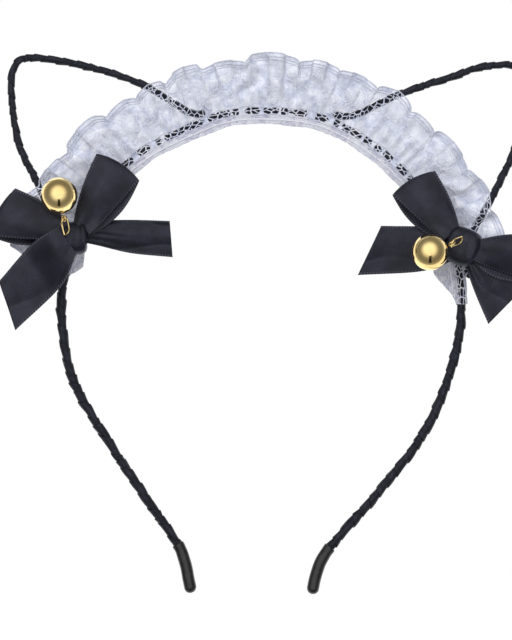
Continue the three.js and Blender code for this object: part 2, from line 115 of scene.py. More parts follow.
def at_lengths(at, run, points):
    """The places of a path at some lengths along it."""
    return np.stack([np.interp(at, run, points[:, k]) for k in range(3)], axis=-1)


def evenly(points, step, steps_between=16):
    """A smooth curve through the points, in steps of one length."""
    p = np.asarray(points, float)
    ends = np.vstack([2 * p[0] - p[1], p, 2 * p[-1] - p[-2]])
    fine = []
    for a, b, c, d in zip(ends, ends[1:], ends[2:], ends[3:]):
        for t in np.linspace(0, 1, steps_between, endpoint=False):
            bend = (2 * a - 5 * b + 4 * c - d) * t**2 + (3 * b - a - 3 * c + d) * t**3
            fine.append(0.5 * (2 * b + (c - a) * t + bend))
    fine = np.array(fine + [p[-1]])
    run = length_along(fine)
    return at_lengths(np.linspace(0, run[-1], max(2, round(run[-1] / step)) + 1), run, fine)


class Line:
    """A curve that is read by the length along it."""

    def __init__(self, points, step=0.4 * MM):
        self.points = evenly(points, step)
        self.run = length_along(self.points)
        self.length = self.run[-1]
        self.tangents = np.gradient(self.points, self.run, axis=0)
        self.tangents /= np.linalg.norm(self.tangents, axis=1)[:, None]

    def at(self, s):
        """The place at a length; past an end the line runs straight on."""
        inside = np.clip(s, 0, self.length)
        past = np.asarray(s - inside)[..., None]
        return at_lengths(inside, self.run, self.points) + self.along(s) * past

    def along(self, s):
        """The way that the line runs at a length."""
        t = at_lengths(s, self.run, self.tangents)
        return t / np.linalg.norm(t, axis=-1)[..., None]

    def beside(self, s):
        """The way that the line runs, and the way across it in the plane of the headband."""
        t = self.along(s)
        across = np.cross(t, FRONT)
        return t, across / np.linalg.norm(across, axis=-1)[..., None]

    def nearest(self, point):
        """The length at which the line comes nearest to a point."""
        return self.run[np.argmin(np.linalg.norm(self.points - np.asarray(point), axis=1))]


def solid(name, points, faces, crease=40, on_cloth=None):
    """A mesh object from points and faces, smooth except at edges sharper than crease degrees.

    on_cloth holds the places of each face's corners on the flat cloth."""
    mesh = bpy.data.meshes.new(name)
    mesh.from_pydata([tuple(p) for p in np.asarray(points).tolist()], [], faces)
    if on_cloth is not None:
        layer = mesh.uv_layers.new(name="cloth")
        flat = [place for corners in on_cloth for place in corners]
        layer.data.foreach_set("uv", np.array(flat, np.float32).ravel())
    mesh.validate()
    mesh.shade_smooth()
    mesh.set_sharp_from_angle(angle=math.radians(crease))
    piece = bpy.data.objects.new(name, mesh)
    bpy.context.scene.collection.objects.link(piece)
    return piece


def skin(rows, columns, closed=True):
    """The faces between rows of points; closed joins the last column to the first."""
    last = columns if closed else columns - 1
    faces = []
    for i in range(rows - 1):
        for j in range(last):
            k = (j + 1) % columns
            faces.append((i * columns + j, (i + 1) * columns + j, (i + 1) * columns + k, i * columns + k))
    return faces


def two_ends(rows, columns):
    """The two faces that close a tube made of rows of points."""
    return [tuple(range(columns)), tuple((rows - 1) * columns + j for j in reversed(range(columns)))]


def tube(name, line, radius, sides=12, step=0.5 * MM, start=0.0, end=None):
    """A round tube along a line, closed at both ends.

    radius is a number, or a function of the length along the line and the angle round it."""
    end = line.length if end is None else end
    rows = max(3, round((end - start) / step)) + 1
    s = np.linspace(start, end, rows)
    t, side = line.beside(s)
    up = np.cross(side, t)
    S, A = np.meshgrid(s, np.linspace(0, 2 * math.pi, sides, endpoint=False), indexing="ij")
    R = radius(S, A) if callable(radius) else np.full(S.shape, radius)
    points = (
        line.at(s)[:, None]
        + (R * np.cos(A))[..., None] * side[:, None]
        + (R * np.sin(A))[..., None] * up[:, None]
    )
    return solid(name, points.reshape(-1, 3), skin(rows, sides) + two_ends(rows, sides))


def cap_corner(node):
    """The low corner of an end cap's box, in the plane of the wire."""
    return np.array(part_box(node)[0]) * [1, 0, 1]


arch = Line(
    np.vstack(
        [
            rod_line("left_leg_wire", cap_corner("left_end_cap")),
            rod_line("crown_wire", np.array(NEAR_CROWN_LEFT)),
            rod_line("right_leg_wire", cap_corner("right_end_cap"))[::-1],
        ]
    )
)
crown_at = arch.nearest(NEAR_CROWN_TOP)


def group_of(name, inputs, outputs):
    """An empty shader node group; inputs and outputs are {name: kind of socket}."""
    group = bpy.data.node_groups.new(name, "ShaderNodeTree")
    for way, sockets in (("INPUT", inputs), ("OUTPUT", outputs)):
        for socket, kind in sockets.items():
            group.interface.new_socket(socket, in_out=way, socket_type=f"NodeSocket{kind}")
    enter, leave = group.nodes.new("NodeGroupInput"), group.nodes.new("NodeGroupOutput")
    return group, enter.outputs, leave.inputs


def placed(nodes, links, group, **values):
    """A shader node group placed in a material with its own values; it gives the node's outputs."""
    node = nodes.new("ShaderNodeGroup")
    node.node_tree = group
    for name, value in values.items():
        if isinstance(value, bpy.types.NodeSocket):
            links.new(value, node.inputs[name])
        else:
            node.inputs[name].default_value = value
    return node.outputs


def grain_group():
    """Fine uneven grain. Grains is how many there are for each metre, or each unit of Place."""
    inputs = {"Place": "Vector", "Grains": "Float", "Detail": "Float"}
    group, given, wanted = group_of("grain", inputs, {"Shade": "Float"})
    speck = group.nodes.new("ShaderNodeTexNoise")
    group.links.new(given["Place"], speck.inputs["Vector"])
    group.links.new(given["Grains"], speck.inputs["Scale"])
    group.links.new(given["Detail"], speck.inputs["Detail"])
    group.links.new(speck.outputs["Fac"], wanted["Shade"])
    return group


fine_grain = grain_group()


def grain(nodes, links, grains, detail=3, place=None):
    """The grain placed in a material, on the piece itself where no place is given."""
    if place is None:
        place = nodes.new("ShaderNodeTexCoord").outputs["Object"]
    return placed(nodes, links, fine_grain, Place=place, Grains=grains, Detail=detail)["Shade"]


def ramp(nodes, links, value, *stops):
    """Colours or greys picked by a value."""
    band = nodes.new("ShaderNodeValToRGB")
    while len(band.color_ramp.elements) < len(stops):
        band.color_ramp.elements.new(0.5)
    for element, (place, colour) in zip(band.color_ramp.elements, stops):
        element.position = place
        if not hasattr(colour, "__len__"):
            colour = (colour, colour, colour)
        element.color = (*colour, 1)
    links.new(value, band.inputs["Fac"])
    return band.outputs["Color"]


def paint(name, rough=0.5, metal=0.0, specular=0.5, **sockets):
    """A new material with its Principled shader, and the two lists that nodes are made with."""
    material = bpy.data.materials.new(name)
    material.use_nodes = True
    nodes, links = material.node_tree.nodes, material.node_tree.links
    shader = nodes["Principled BSDF"]
    shader.inputs["Roughness"].default_value = rough
    shader.inputs["Metallic"].default_value = metal
    shader.inputs["Specular IOR Level"].default_value = specular
    for socket, value in sockets.items():
        shader.inputs[socket.replace("_", " ")].default_value = value
    return material, nodes, links, shader


def coloured(nodes, links, shader, value, *stops):
    """The shader's colour picked by a value."""
    links.new(ramp(nodes, links, value, *stops), shader.inputs["Base Color"])


def bumped(nodes, links, height, depth, shader, strength=1.0):
    """A bump of that depth in metres on the shader's normal."""
    bump = nodes.new("ShaderNodeBump")
    bump.inputs["Distance"].default_value = depth
    bump.inputs["Strength"].default_value = strength
    links.new(height, bump.inputs["Height"])
    links.new(bump.outputs["Normal"], shader.inputs["Normal"])


spring_steel, nodes, links, shader = paint("spring_steel", 0.32, 1.0)
drawn = grain(nodes, links, 900)
coloured(nodes, links, shader, drawn, *STEEL_SHADES)
bumped(nodes, links, drawn, 0.04 * MM, shader)

TOWARDS_LEG = {"left": -1, "right": 1}


def bends_at_hinge(piece):
    """Makes the piece's placing part of its mesh."""
    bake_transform(piece)


for side, start, end in (
    ("left", WIRE_TIP_MARGIN, crown_at),
    ("right", crown_at, arch.length - WIRE_TIP_MARGIN),
):
    wire = tube(f"{side}_spring_wire", arch, WIRE_RADIUS, sides=10, step=2.0 * MM, start=start, end=end)
    wire.data.materials.append(spring_steel)
    bends_at_hinge(wire)
    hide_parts("crown_wire", f"{side}_leg_wire")

# ---------------------------------------------------------------- ribbon wound over the wire
# A black satin ribbon is wound round the wire from tip to tip. Each turn lies half over the one
# before, so it shows as a slanting ridge about every 5 mm, and it swells where it was pulled less.

WRAP_PITCH = 4.7 * MM
WRAP_UNDER = 1.30 * MM
WRAP_RIDGE = 0.42 * MM
WRAP_TIP_MARGIN = 1.5 * MM
WRAP_SEED = 3
ACROSS_TURN = (0.0, 0.03, 0.14, 0.32, 0.52, 0.72, 0.88, 0.96, 0.995)
EDGE_WANDER = 0.75  # how far a turn's edge wanders, in pitches
SWELL = (1.04, 0.26)  # the ribbon's usual thickness, and how much it changes where it was pulled less
END_ROUNDING = 1.2 * MM
THINNEST = 0.02 * MM
COOL_SHINE = (0.80, 0.84, 1.0, 1)  # black satin shines a little blue
FOLDED_EDGE = 48  # degrees; a sharper edge shows as a fold


def waver(seed, x, size=1.0):
    """A smooth wandering value about zero."""
    return size * noise.noise(Vector((seed * 7.31, x, 0.5)))


def wound_ribbon(name, line, under, ridge, pitch, start, end, seed, sides=22):
    """A ribbon wound on a line as one helical strip that rises over the turn before it."""
    count = (math.ceil((end - start) / pitch) + 2) * sides
    edge = [
        start + pitch * (k / sides - 1) + waver(seed, k / sides * 0.55, EDGE_WANDER * pitch)
        for k in range(count + sides + 1)
    ]
    columns = len(ACROSS_TURN)
    points, on_ribbon = [], []
    for k in range(count + sides):
        following = edge[min(k + sides, len(edge) - 1)]
        angle = 2 * math.pi * k / sides
        for v in ACROSS_TURN:
            s = edge[k] * (1 - v) + following * v
            lift = v**0.8 if v < 0.97 else 0.93  # the very edge dips towards the turn under it
            spot = Vector((s * 190, math.cos(angle) * 0.7, seed + math.sin(angle) * 0.7))
            radius = (under + ridge * lift) * (SWELL[0] + SWELL[1] * noise.noise(spot))
            to_end = min(s - start, end - s) / END_ROUNDING
            radius *= math.sqrt(min(max(to_end, 0.0), 1.0))
            points.append((min(max(s, start), end), angle, max(radius, THINNEST)))
            on_ribbon.append((k / sides, v))
    S, A, R = np.array(points).T
    t, side = line.beside(S)
    up = np.cross(side, t)
    places = line.at(S) + (R * np.cos(A))[:, None] * side + (R * np.sin(A))[:, None] * up
    faces, on_cloth = [], []
    for k in range(count - 1):
        for c in range(columns):
            a, b = k * columns + c, (k + 1) * columns + c
            if c < columns - 1:
                face = (a, b, b + 1, a + 1)
                corners = [on_ribbon[i] for i in face]
            else:
                over = sides * columns - c
                face = (a, b, b + over, a + over)
                corners = [on_ribbon[a], on_ribbon[b], (on_ribbon[b][0], 1.0), (on_ribbon[a][0], 1.0)]
            if np.ptp(S[list(face)]) > 0.0001 * MM:
                faces.append(face)
                on_cloth.append(corners)
    return solid(name, places, faces, crease=FOLDED_EDGE, on_cloth=on_cloth)


def cut_at(piece, place, keep):
    """Cuts a piece off square at a place, and closes the cut."""
    b = bmesh.new()
    b.from_mesh(piece.data)
    parts = b.verts[:] + b.edges[:] + b.faces[:]
    found = bmesh.ops.bisect_plane(b, geom=parts, plane_co=place, plane_no=keep, clear_inner=True)
    rim = [e for e in found["geom_cut"] if isinstance(e, bmesh.types.BMEdge)]
    bmesh.ops.holes_fill(b, edges=rim, sides=0)
    b.to_mesh(piece.data)
    b.free()


def maths(nodes, links, kind, *values, clamp=False):
    """One Math node on sockets or plain numbers."""
    node = nodes.new("ShaderNodeMath")
    node.operation = kind
    node.use_clamp = clamp
    for socket, value in zip(node.inputs, values):
        if isinstance(value, bpy.types.NodeSocket):
            links.new(value, socket)
        else:
            socket.default_value = value
    return node.outputs[0]


def waves(nodes, links, value, count):
    """A wave that rises and falls along a value."""
    return maths(nodes, links, "SINE", maths(nodes, links, "MULTIPLY", value, count))


def split_up(nodes, links, vector):
    """A vector's X, Y and Z."""
    split = nodes.new("ShaderNodeSeparateXYZ")
    links.new(vector, split.inputs[0])
    return split.outputs


def weave_group():
    """Satin weave: long floating threads one way, and the fine crossing threads that tie them down."""
    inputs = {"Cloth": "Vector", "Threads": "Float", "Picks": "Float"}
    group, given, wanted = group_of("satin_weave", inputs, {"Height": "Float", "Shade": "Float"})
    nodes, links = group.nodes, group.links
    across, along, _ = split_up(nodes, links, given["Cloth"])
    long_threads = waves(nodes, links, across, given["Threads"])
    ties = waves(nodes, links, along, given["Picks"])
    both = maths(nodes, links, "MULTIPLY_ADD", ties, 0.35, long_threads)
    links.new(maths(nodes, links, "MULTIPLY_ADD", both, 0.35, 0.5), wanted["Height"])
    links.new(grain(nodes, links, 3.0, 4, given["Cloth"]), wanted["Shade"])
    return group


satin_weave = weave_group()


def on_flat_cloth(nodes):
    """The place on the flat cloth."""
    cloth = nodes.new("ShaderNodeUVMap")
    cloth.uv_map = "cloth"
    return cloth.outputs["UV"]


wrap_ribbon, nodes, links, shader = paint("wrap_ribbon", 0.5, 0.0, 0.36, Sheen_Weight=0.06)
shader.inputs["Sheen Roughness"].default_value = 0.4
shader.inputs["Specular Tint"].default_value = COOL_SHINE
weave = placed(nodes, links, satin_weave, Cloth=on_flat_cloth(nodes), Threads=60, Picks=95)
coloured(nodes, links, shader, weave["Shade"], (0.3, (0.003, 0.003, 0.005)), (0.75, (0.013, 0.013, 0.021)))
links.new(ramp(nodes, links, weave["Shade"], (0.35, 0.62), (0.7, 0.4)), shader.inputs["Roughness"])
bumped(nodes, links, weave["Height"], 0.06 * MM, shader, 0.7)

for side in ("left", "right"):
    wound = wound_ribbon(
        f"{side}_wound_ribbon",
        arch,
        WRAP_UNDER,
        WRAP_RIDGE,
        WRAP_PITCH,
        WRAP_TIP_MARGIN,
        arch.length - WRAP_TIP_MARGIN,
        WRAP_SEED,
    )
    cut_at(wound, arch.at(crown_at), arch.along(crown_at) * TOWARDS_LEG[side])
    wound.data.materials.append(wrap_ribbon)
    bends_at_hinge(wound)
    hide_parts("crown_ribbon_wrap", f"{side}_leg_ribbon_wrap")

# ---------------------------------------------------------------- end caps
# A dipped black rubber cap is pushed on each tip so that the wire can't scratch. It has a blunt
# rolled rim, a domed end, and the soft shine and small dents of moulded rubber.

CAP_RADIUS = 2.12 * MM
CAP_OVER_TIP = 2.2 * MM
CAP_LENGTH = 17.9 * MM
CAP_POINT = 0.03 * MM
RIM_ROLL = 0.6 * MM
WAIST_AT = 2.6 * MM
WAIST_WIDTH = 1.2 * MM

cap_rubber, nodes, links, shader = paint("cap_rubber", 0.3, 0.0, 0.5)
dents = grain(nodes, links, 420, 2)
scuffs = grain(nodes, links, 3800, 2)
coloured(nodes, links, shader, dents, (0.3, (0.004, 0.004, 0.005)), (0.7, (0.012, 0.012, 0.014)))
links.new(ramp(nodes, links, scuffs, (0.35, 0.24), (0.7, 0.36)), shader.inputs["Roughness"])
bumped(nodes, links, dents, 0.25 * MM, shader, 0.5)


def bump_at(x, middle, width):
    """1 at the middle, falling away to 0 on both sides over about the width."""
    return np.exp(-(((x - middle) / width) ** 2))


def rounded_over(x, size):
    """A quarter round that rises from 0 to 1 over a size, and stays at 1."""
    return np.sqrt(1 - (1 - np.clip(x / size, 0, 1)) ** 2)


def cap_radius(tip, rim):
    """The cap's radius from its domed tip to its rolled rim."""

    def radius(S, A):
        from_tip, from_rim = np.abs(S - tip), np.abs(S - rim)
        roll = 0.8 + 0.2 * rounded_over(from_rim, RIM_ROLL)
        waist = 1 - 0.04 * bump_at(from_rim, WAIST_AT, WAIST_WIDTH)
        dented = 1 + 0.02 * np.sin(S * 900 + np.cos(A) * 1.5)
        return np.maximum(CAP_RADIUS * rounded_over(from_tip, CAP_RADIUS) * roll * waist * dented, CAP_POINT)

    return radius


for side, tip in (("left", -CAP_OVER_TIP), ("right", arch.length + CAP_OVER_TIP)):
    rim = tip - TOWARDS_LEG[side] * CAP_LENGTH
    start, end = min(tip, rim), max(tip, rim)
    cap = tube(f"{side}_cap", arch, cap_radius(tip, rim), sides=32, step=0.25 * MM, start=start, end=end)
    cap.data.materials.append(cap_rubber)
    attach(cap, f"{side}_leg")
    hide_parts(f"{side}_end_cap")

# ---------------------------------------------------------------- ears
# Each ear is a thinner wire bent to a rounded point, wound in the same black ribbon. Its two
# straight feet lie beside the arch, where a few tight turns of ribbon bind them on.

EAR_WIRE_RADIUS = 0.6 * MM
EAR_PITCH = 4.3 * MM
EAR_UNDER = 1.03 * MM
EAR_RIDGE = 0.36 * MM
EAR_OVERHANG = 0.4 * MM
EAR_SEEDS = {"left": 11, "right": 12}
ears = {}
for side, seed in EAR_SEEDS.items():
    ears[side] = Line(rod_line(f"{side}_ear_wire", arch.at(crown_at)))
    wire = tube(f"{side}_ear_wire_core", ears[side], EAR_WIRE_RADIUS, sides=10, step=1.5 * MM)
    wire.data.materials.append(spring_steel)
    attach(wire, "crown")
    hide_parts(f"{side}_ear_wire")
    wound = wound_ribbon(
        f"{side}_ear_wound_ribbon",
        ears[side],
        EAR_UNDER,
        EAR_RIDGE,
        EAR_PITCH,
        -EAR_OVERHANG,
        ears[side].length + EAR_OVERHANG,
        seed,
        sides=20,
    )
    wound.data.materials.append(wrap_ribbon)
    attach(wound, "crown")
    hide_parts(f"{side}_ear_ribbon_wrap")

BINDING_LENGTH = 7.0 * MM
BINDING_PITCH = 1.75 * MM
BINDING_RADIUS = 1.82 * MM
BINDING_RIDGE = 0.35 * MM
BINDING_WAVER = 0.12 * MM
BINDING_END_RADIUS = 1.45 * MM
OVER_EAR_WIRE = 0.9  # the binding is slimmer on the ear's side, because the ear's wire is thinner


def box_middle(node):
    """The middle of a solid's box."""
    return np.array(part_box(node)).mean(axis=0)


def binding(name, node, ear, foot, seed, rows=57, sides=28):
    """Ribbon turns round the arch and an ear's foot together."""
    at = arch.nearest(box_middle(node))
    foot_place = ear.at(foot)
    reach = foot_place - arch.at(arch.nearest(foot_place))
    s = np.linspace(at - BINDING_LENGTH / 2, at + BINDING_LENGTH / 2, rows)
    centre = arch.at(s)
    out = arch.beside(s)[1]
    out *= np.sign((out * reach).sum(axis=1))[:, None]
    points, on_ribbon = [], []
    for i in range(rows):
        at_end = i in (0, rows - 1)
        for j in range(sides):
            angle = 2 * math.pi * j / sides
            turn = ((s[i] - s[0]) / BINDING_PITCH + j / sides) % 1
            ridge = BINDING_RIDGE * turn**0.7 + waver(seed, s[i] * 900 + j * 0.3, BINDING_WAVER)
            radius = BINDING_END_RADIUS if at_end else BINDING_RADIUS + ridge
            x, y = radius * math.cos(angle), radius * math.sin(angle)
            if x > 0:
                x, y = np.linalg.norm(reach) + OVER_EAR_WIRE * x, OVER_EAR_WIRE * y
            points.append(centre[i] + out[i] * x + FRONT * y)
            on_ribbon.append((j / sides * 4, turn))
    faces = skin(rows, sides) + two_ends(rows, sides)
    on_cloth = [[on_ribbon[i] for i in face] for face in faces]
    piece = solid(name, points, faces, crease=FOLDED_EDGE, on_cloth=on_cloth)
    piece.data.materials.append(wrap_ribbon)
    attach(piece, "crown")
    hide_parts(node)


for number, side in enumerate(("left", "right")):
    ear = ears[side]
    binding(f"{side}_inner_binding_turns", f"{side}_ear_inner_binding", ear, 0.0, 21 + number)
    binding(f"{side}_outer_binding_turns", f"{side}_ear_outer_binding", ear, ear.length, 25 + number)

# ---------------------------------------------------------------- lace
# A white nylon lace edging, gathered on a thread to a little over half its length and sewn along
# the arch. It has a dense header, a row of open windows over the wire, a ruffle of fine net with
# raised flowers, and a scalloped edge followed by two cords.

HEADER_INSIDE = 4.4 * MM
LACE_FLAT = (0.0238, 0.3)
SCALLOP_WIDTH = 11.6 * MM
SCALLOP_DEPTH = 3.4 * MM
LACE_REACH = 16.6 * MM
END_CURVE = 4.5 * MM
FOLD_LENGTH = 9.4 * MM
SMALL_FOLD_LENGTH = 4.1 * MM
OVER_WIRE = 2.75 * MM
EAR_SEEN_FROM = 7 * MM
SHEER_REACH = (1.0 * MM, 1.5 * MM)

reached = [arch.nearest(corner) for corner in corners_of("lace_trim") * [1, 0, 1]]
lace_from, lace_to = min(reached), max(reached)
LACE_LENGTH = lace_to - lace_from


def smooth(low, high, value):
    """0 below low, 1 above high, and a soft step between."""
    t = np.clip((value - low) / (high - low), 0, 1)
    return t * t * (3 - 2 * t)


def lace_edge(u):
    """How far the scalloped edge stands from the wire's middle, at a length along the lace."""
    u = np.asarray(u, float)
    lobe = u / SCALLOP_WIDTH + 0.16 * np.sin(u * 95) + 0.1 * np.sin(u * 211 + 1)
    height = 0.8 + 0.35 * np.sin(np.floor(lobe) * 2.4 + 0.6)
    scallops = SCALLOP_DEPTH * height * np.abs(np.sin(math.pi * lobe)) ** 0.55
    fuller = 2.2 * MM * bump_at(u, 19 * MM, 11 * MM)
    left = 0.42 + 0.58 * smooth(-3 * MM, 5 * MM, u)
    right = 0.1 + 0.9 * smooth(9 * MM, 19 * MM, LACE_LENGTH - u)
    rounded = np.sqrt(np.clip((u + 0.4 * MM) / END_CURVE, 0.01, 1))
    return (LACE_REACH + scallops + fuller) * left * right * rounded


def lace_header(u):
    """How far the header hangs inside the wire's middle line."""
    left_flare = 1.4 * MM * bump_at(u, 0, 9 * MM)
    right_flare = 4.2 * MM * bump_at(LACE_LENGTH - u, 13 * MM, 6 * MM)
    last = 0.4 + 0.6 * smooth(-2 * MM, 8 * MM, LACE_LENGTH - u)
    rounded = np.sqrt(np.clip((u + 0.2 * MM) / END_CURVE, 0.01, 1))
    ripple = 0.3 * MM * np.sin(u * 310) * np.sin(u * 127 + 1) + 0.06 * MM * np.sin(u * 1900)
    return (HEADER_INSIDE + left_flare + right_flare) * last * rounded + ripple


def on_lace(u, out, lift=0.0):
    """A place on the gathered lace, u along it and out from the wire's middle; lift is towards the front."""
    u, out = np.broadcast_arrays(np.asarray(u, float), np.asarray(out, float))
    loose = smooth(0.5 * MM, 15 * MM, out)
    free = smooth(-1 * MM, 5 * MM, out)
    fold = 2 * math.pi * (u / FOLD_LENGTH + 0.35 * np.sin(u * 61) + 0.22 * np.sin(u * 143 + 2))
    small = 2 * math.pi * (u / SMALL_FOLD_LENGTH + 0.3 * np.sin(u * 171))
    pucker = free * (1 - 0.75 * loose)
    lean = 0.55 * MM * loose * np.sin(2 * fold + 0.6)
    s = lace_from + u + lean
    outward = arch.beside(s)[1]
    if outward[..., 2].mean() < 0:
        outward = -outward
    uneven = 0.62 + 0.38 * np.sin(u * 77 + 0.4)
    swirl = 1.7 * np.sin(out * 260 + u * 83) + 1.1 * np.sin(out * 430 - u * 167 + 1.3)
    forward = OVER_WIRE + lift + 2.0 * MM * loose + 0.45 * MM * free
    forward = forward + 1.25 * MM * uneven * loose * np.sin(fold + swirl) + 0.45 * MM * pucker * np.sin(small)
    forward = forward + 0.5 * MM * free * np.sin(u * 520 + 90 * out + 1.7) * np.sin(out * 610 + u * 240)
    forward = forward + 0.18 * MM * np.sin(u * 700 + out * 300) * loose
    return arch.at(s) + outward * out[..., None] + FRONT * forward[..., None]


def sheet_mesh(name, places, flat_places):
    """A sheet from a grid of places and the same grid of places on the flat cloth."""
    faces = skin(*places.shape[:2], closed=False)
    on_cloth = flat_places.reshape(-1, 2)[np.array(faces)]
    return solid(name, places.reshape(-1, 3), faces, crease=180, on_cloth=on_cloth)


LACE_ROWS = 560
LACE_COLUMNS = 48
U, W = np.meshgrid(np.linspace(0, LACE_LENGTH, LACE_ROWS), np.linspace(0, 1, LACE_COLUMNS), indexing="ij")
OUT = -lace_header(U) * (1 - W) + lace_edge(U) * W
lace_places = on_lace(U, OUT)
along_flat = U / LACE_LENGTH * LACE_FLAT[1]
lace = sheet_mesh("gathered_lace", lace_places, np.stack([along_flat, OUT], axis=-1) / MM)

level_places = lace_places[..., [0, 2]].reshape(-1, 2)
to_ear = np.full(U.shape, 1.0)
for ear in ears.values():
    ear_path = ear.at(np.linspace(EAR_SEEN_FROM, ear.length, 400))[:, [0, 2]]
    far = np.min(np.linalg.norm(level_places[:, None] - ear_path[None], axis=2), axis=1)
    to_ear = np.minimum(to_ear, far.reshape(U.shape))
sheer = lace.data.attributes.new("sheer", "FLOAT", "POINT")
sheer.data.foreach_set("value", (1 - smooth(*SHEER_REACH, to_ear)).astype(np.float32).ravel())


def step_between(nodes, links, value, low, high, top=1.0, bottom=0.0):
    """A soft step of a socket, from bottom at low to top at high."""
    node = nodes.new("ShaderNodeMapRange")
    node.interpolation_type = "SMOOTHSTEP"
    node.inputs["To Min"].default_value = bottom
    node.inputs["To Max"].default_value = top
    links.new(value, node.inputs["Value"])
    for socket, limit in (("From Min", low), ("From Max", high)):
        if isinstance(limit, bpy.types.NodeSocket):
            links.new(limit, node.inputs[socket])
        else:
            node.inputs[socket].default_value = limit
    return node.outputs["Result"]


def net_group():
    """Knotted net: uneven cells with a thread along every edge. Cells is in cells for each unit."""
    inputs = {"Cloth": "Vector", "Cells": "Float", "Thread": "Float"}
    group, given, wanted = group_of("lace_net", inputs, {"Mask": "Float"})
    nodes, links = group.nodes, group.links
    cells = nodes.new("ShaderNodeTexVoronoi")
    cells.voronoi_dimensions = "2D"
    cells.feature = "DISTANCE_TO_EDGE"
    cells.inputs["Randomness"].default_value = 0.8
    links.new(given["Cloth"], cells.inputs["Vector"])
    links.new(given["Cells"], cells.inputs["Scale"])
    thin = maths(nodes, links, "MULTIPLY", given["Thread"], 0.7)
    wide = maths(nodes, links, "MULTIPLY", given["Thread"], 1.25)
    mask = step_between(nodes, links, cells.outputs["Distance"], thin, wide, top=0.0, bottom=1.0)
    links.new(mask, wanted["Mask"])
    return group


lace_net = net_group()


def scaled(nodes, links, vector, scale, turn=0.0):
    """A vector turned about Z and stretched."""
    node = nodes.new("ShaderNodeMapping")
    node.inputs["Rotation"].default_value = (0, 0, turn)
    node.inputs["Scale"].default_value = (*scale, 1)
    links.new(vector, node.inputs["Vector"])
    return node.outputs["Vector"]


def mixed(nodes, links, share, first, second):
    """One colour turned into a second one by a share; each is a socket or a plain colour."""
    node = nodes.new("ShaderNodeMix")
    node.data_type = "RGBA"
    links.new(share, node.inputs["Factor"])
    for socket, colour in (("A", first), ("B", second)):
        if isinstance(colour, bpy.types.NodeSocket):
            links.new(colour, node.inputs[socket])
        else:
            node.inputs[socket].default_value = (*colour, 1)
    return node.outputs["Result"]


# The cloth's places are in millimetres here: along the header, and out from the wire's middle.
FLOWER_SPACING = 9.5
FLOWER_HEART = 2.6
PETAL_LENGTH = 1.9
HALF_PETALS = 2.5
WINDOW_MIDDLE = 0.25
WINDOW_HALF_HEIGHT = 1.75
RUFFLE_STARTS = (1.3, 1.7)
HEADER_STARTS = (-1.1, -0.7)
BACKING = 0.72
HEADER_COVER = 0.8
RAISED_WHITE = (0.84, 0.86, 0.91)

white_lace, nodes, links, shader = paint("white_lace", 0.75, 0.0, 0.25, Sheen_Weight=0.15)


def of_lace(kind, *values, clamp=False):
    """One Math node of the lace."""
    return maths(nodes, links, kind, *values, clamp=clamp)


def without(mask):
    """The rest of a mask."""
    return of_lace("SUBTRACT", 1.0, mask)


flat = on_flat_cloth(nodes)
along, out, _ = split_up(nodes, links, flat)
open_net = placed(nodes, links, lace_net, Cloth=flat, Cells=0.74, Thread=0.075)["Mask"]
close_net = placed(nodes, links, lace_net, Cloth=flat, Cells=1.5, Thread=0.2)["Mask"]
wide_net = placed(nodes, links, lace_net, Cloth=flat, Cells=0.46, Thread=0.075)["Mask"]
taut = nodes.new("ShaderNodeAttribute")
taut.attribute_name = "sheer"
cover = without(taut.outputs["Fac"])

flower = nodes.new("ShaderNodeTexVoronoi")
flower.voronoi_dimensions = "2D"
flower.inputs["Scale"].default_value = 1 / FLOWER_SPACING
flower.inputs["Randomness"].default_value = 0.75
links.new(flat, flower.inputs["Vector"])
from_heart = nodes.new("ShaderNodeVectorMath")
from_heart.operation = "SUBTRACT"
links.new(flat, from_heart.inputs[0])
links.new(flower.outputs["Position"], from_heart.inputs[1])
across, up, _ = split_up(nodes, links, from_heart.outputs[0])
around = of_lace("ARCTAN2", up, across)
spread = of_lace("SQRT", of_lace("ADD", of_lace("MULTIPLY", across, across), of_lace("MULTIPLY", up, up)))
lobes = of_lace("ABSOLUTE", waves(nodes, links, around, HALF_PETALS))
inside = of_lace("SUBTRACT", of_lace("MULTIPLY_ADD", lobes, PETAL_LENGTH, FLOWER_HEART), spread)
filling = step_between(nodes, links, inside, -0.25, 0.25)
outline = without(step_between(nodes, links, of_lace("ABSOLUTE", inside), 0.15, 0.5))
petals = of_lace("MULTIPLY", of_lace("MAXIMUM", filling, outline), cover)

loose_net = of_lace("MULTIPLY", open_net, cover)
taut_net = of_lace("MULTIPLY", wide_net, taut.outputs["Fac"])
backing = of_lace("MULTIPLY", of_lace("MAXIMUM", close_net, BACKING), cover)
ruffle = of_lace("MAXIMUM", of_lace("MAXIMUM", loose_net, taut_net), petals)
ruffle = of_lace("MAXIMUM", ruffle, backing)

pulled = scaled(nodes, links, flat, (0.27, 0.78), 0.5)
crossed = placed(nodes, links, lace_net, Cloth=pulled, Cells=1.0, Thread=0.09)["Mask"]
gaps = nodes.new("ShaderNodeTexNoise")
gaps.noise_dimensions = "1D"
gaps.inputs["Scale"].default_value = 0.2
gaps.inputs["Detail"].default_value = 2.0
links.new(along, gaps.inputs["W"])
gape = of_lace("MULTIPLY", step_between(nodes, links, gaps.outputs["Fac"], 0.36, 0.56), WINDOW_HALF_HEIGHT)
from_middle = of_lace("ABSOLUTE", of_lace("SUBTRACT", out, WINDOW_MIDDLE))
shut = step_between(nodes, links, of_lace("SUBTRACT", from_middle, gape), -0.3, 0.1)
windows = of_lace("MAXIMUM", crossed, shut)

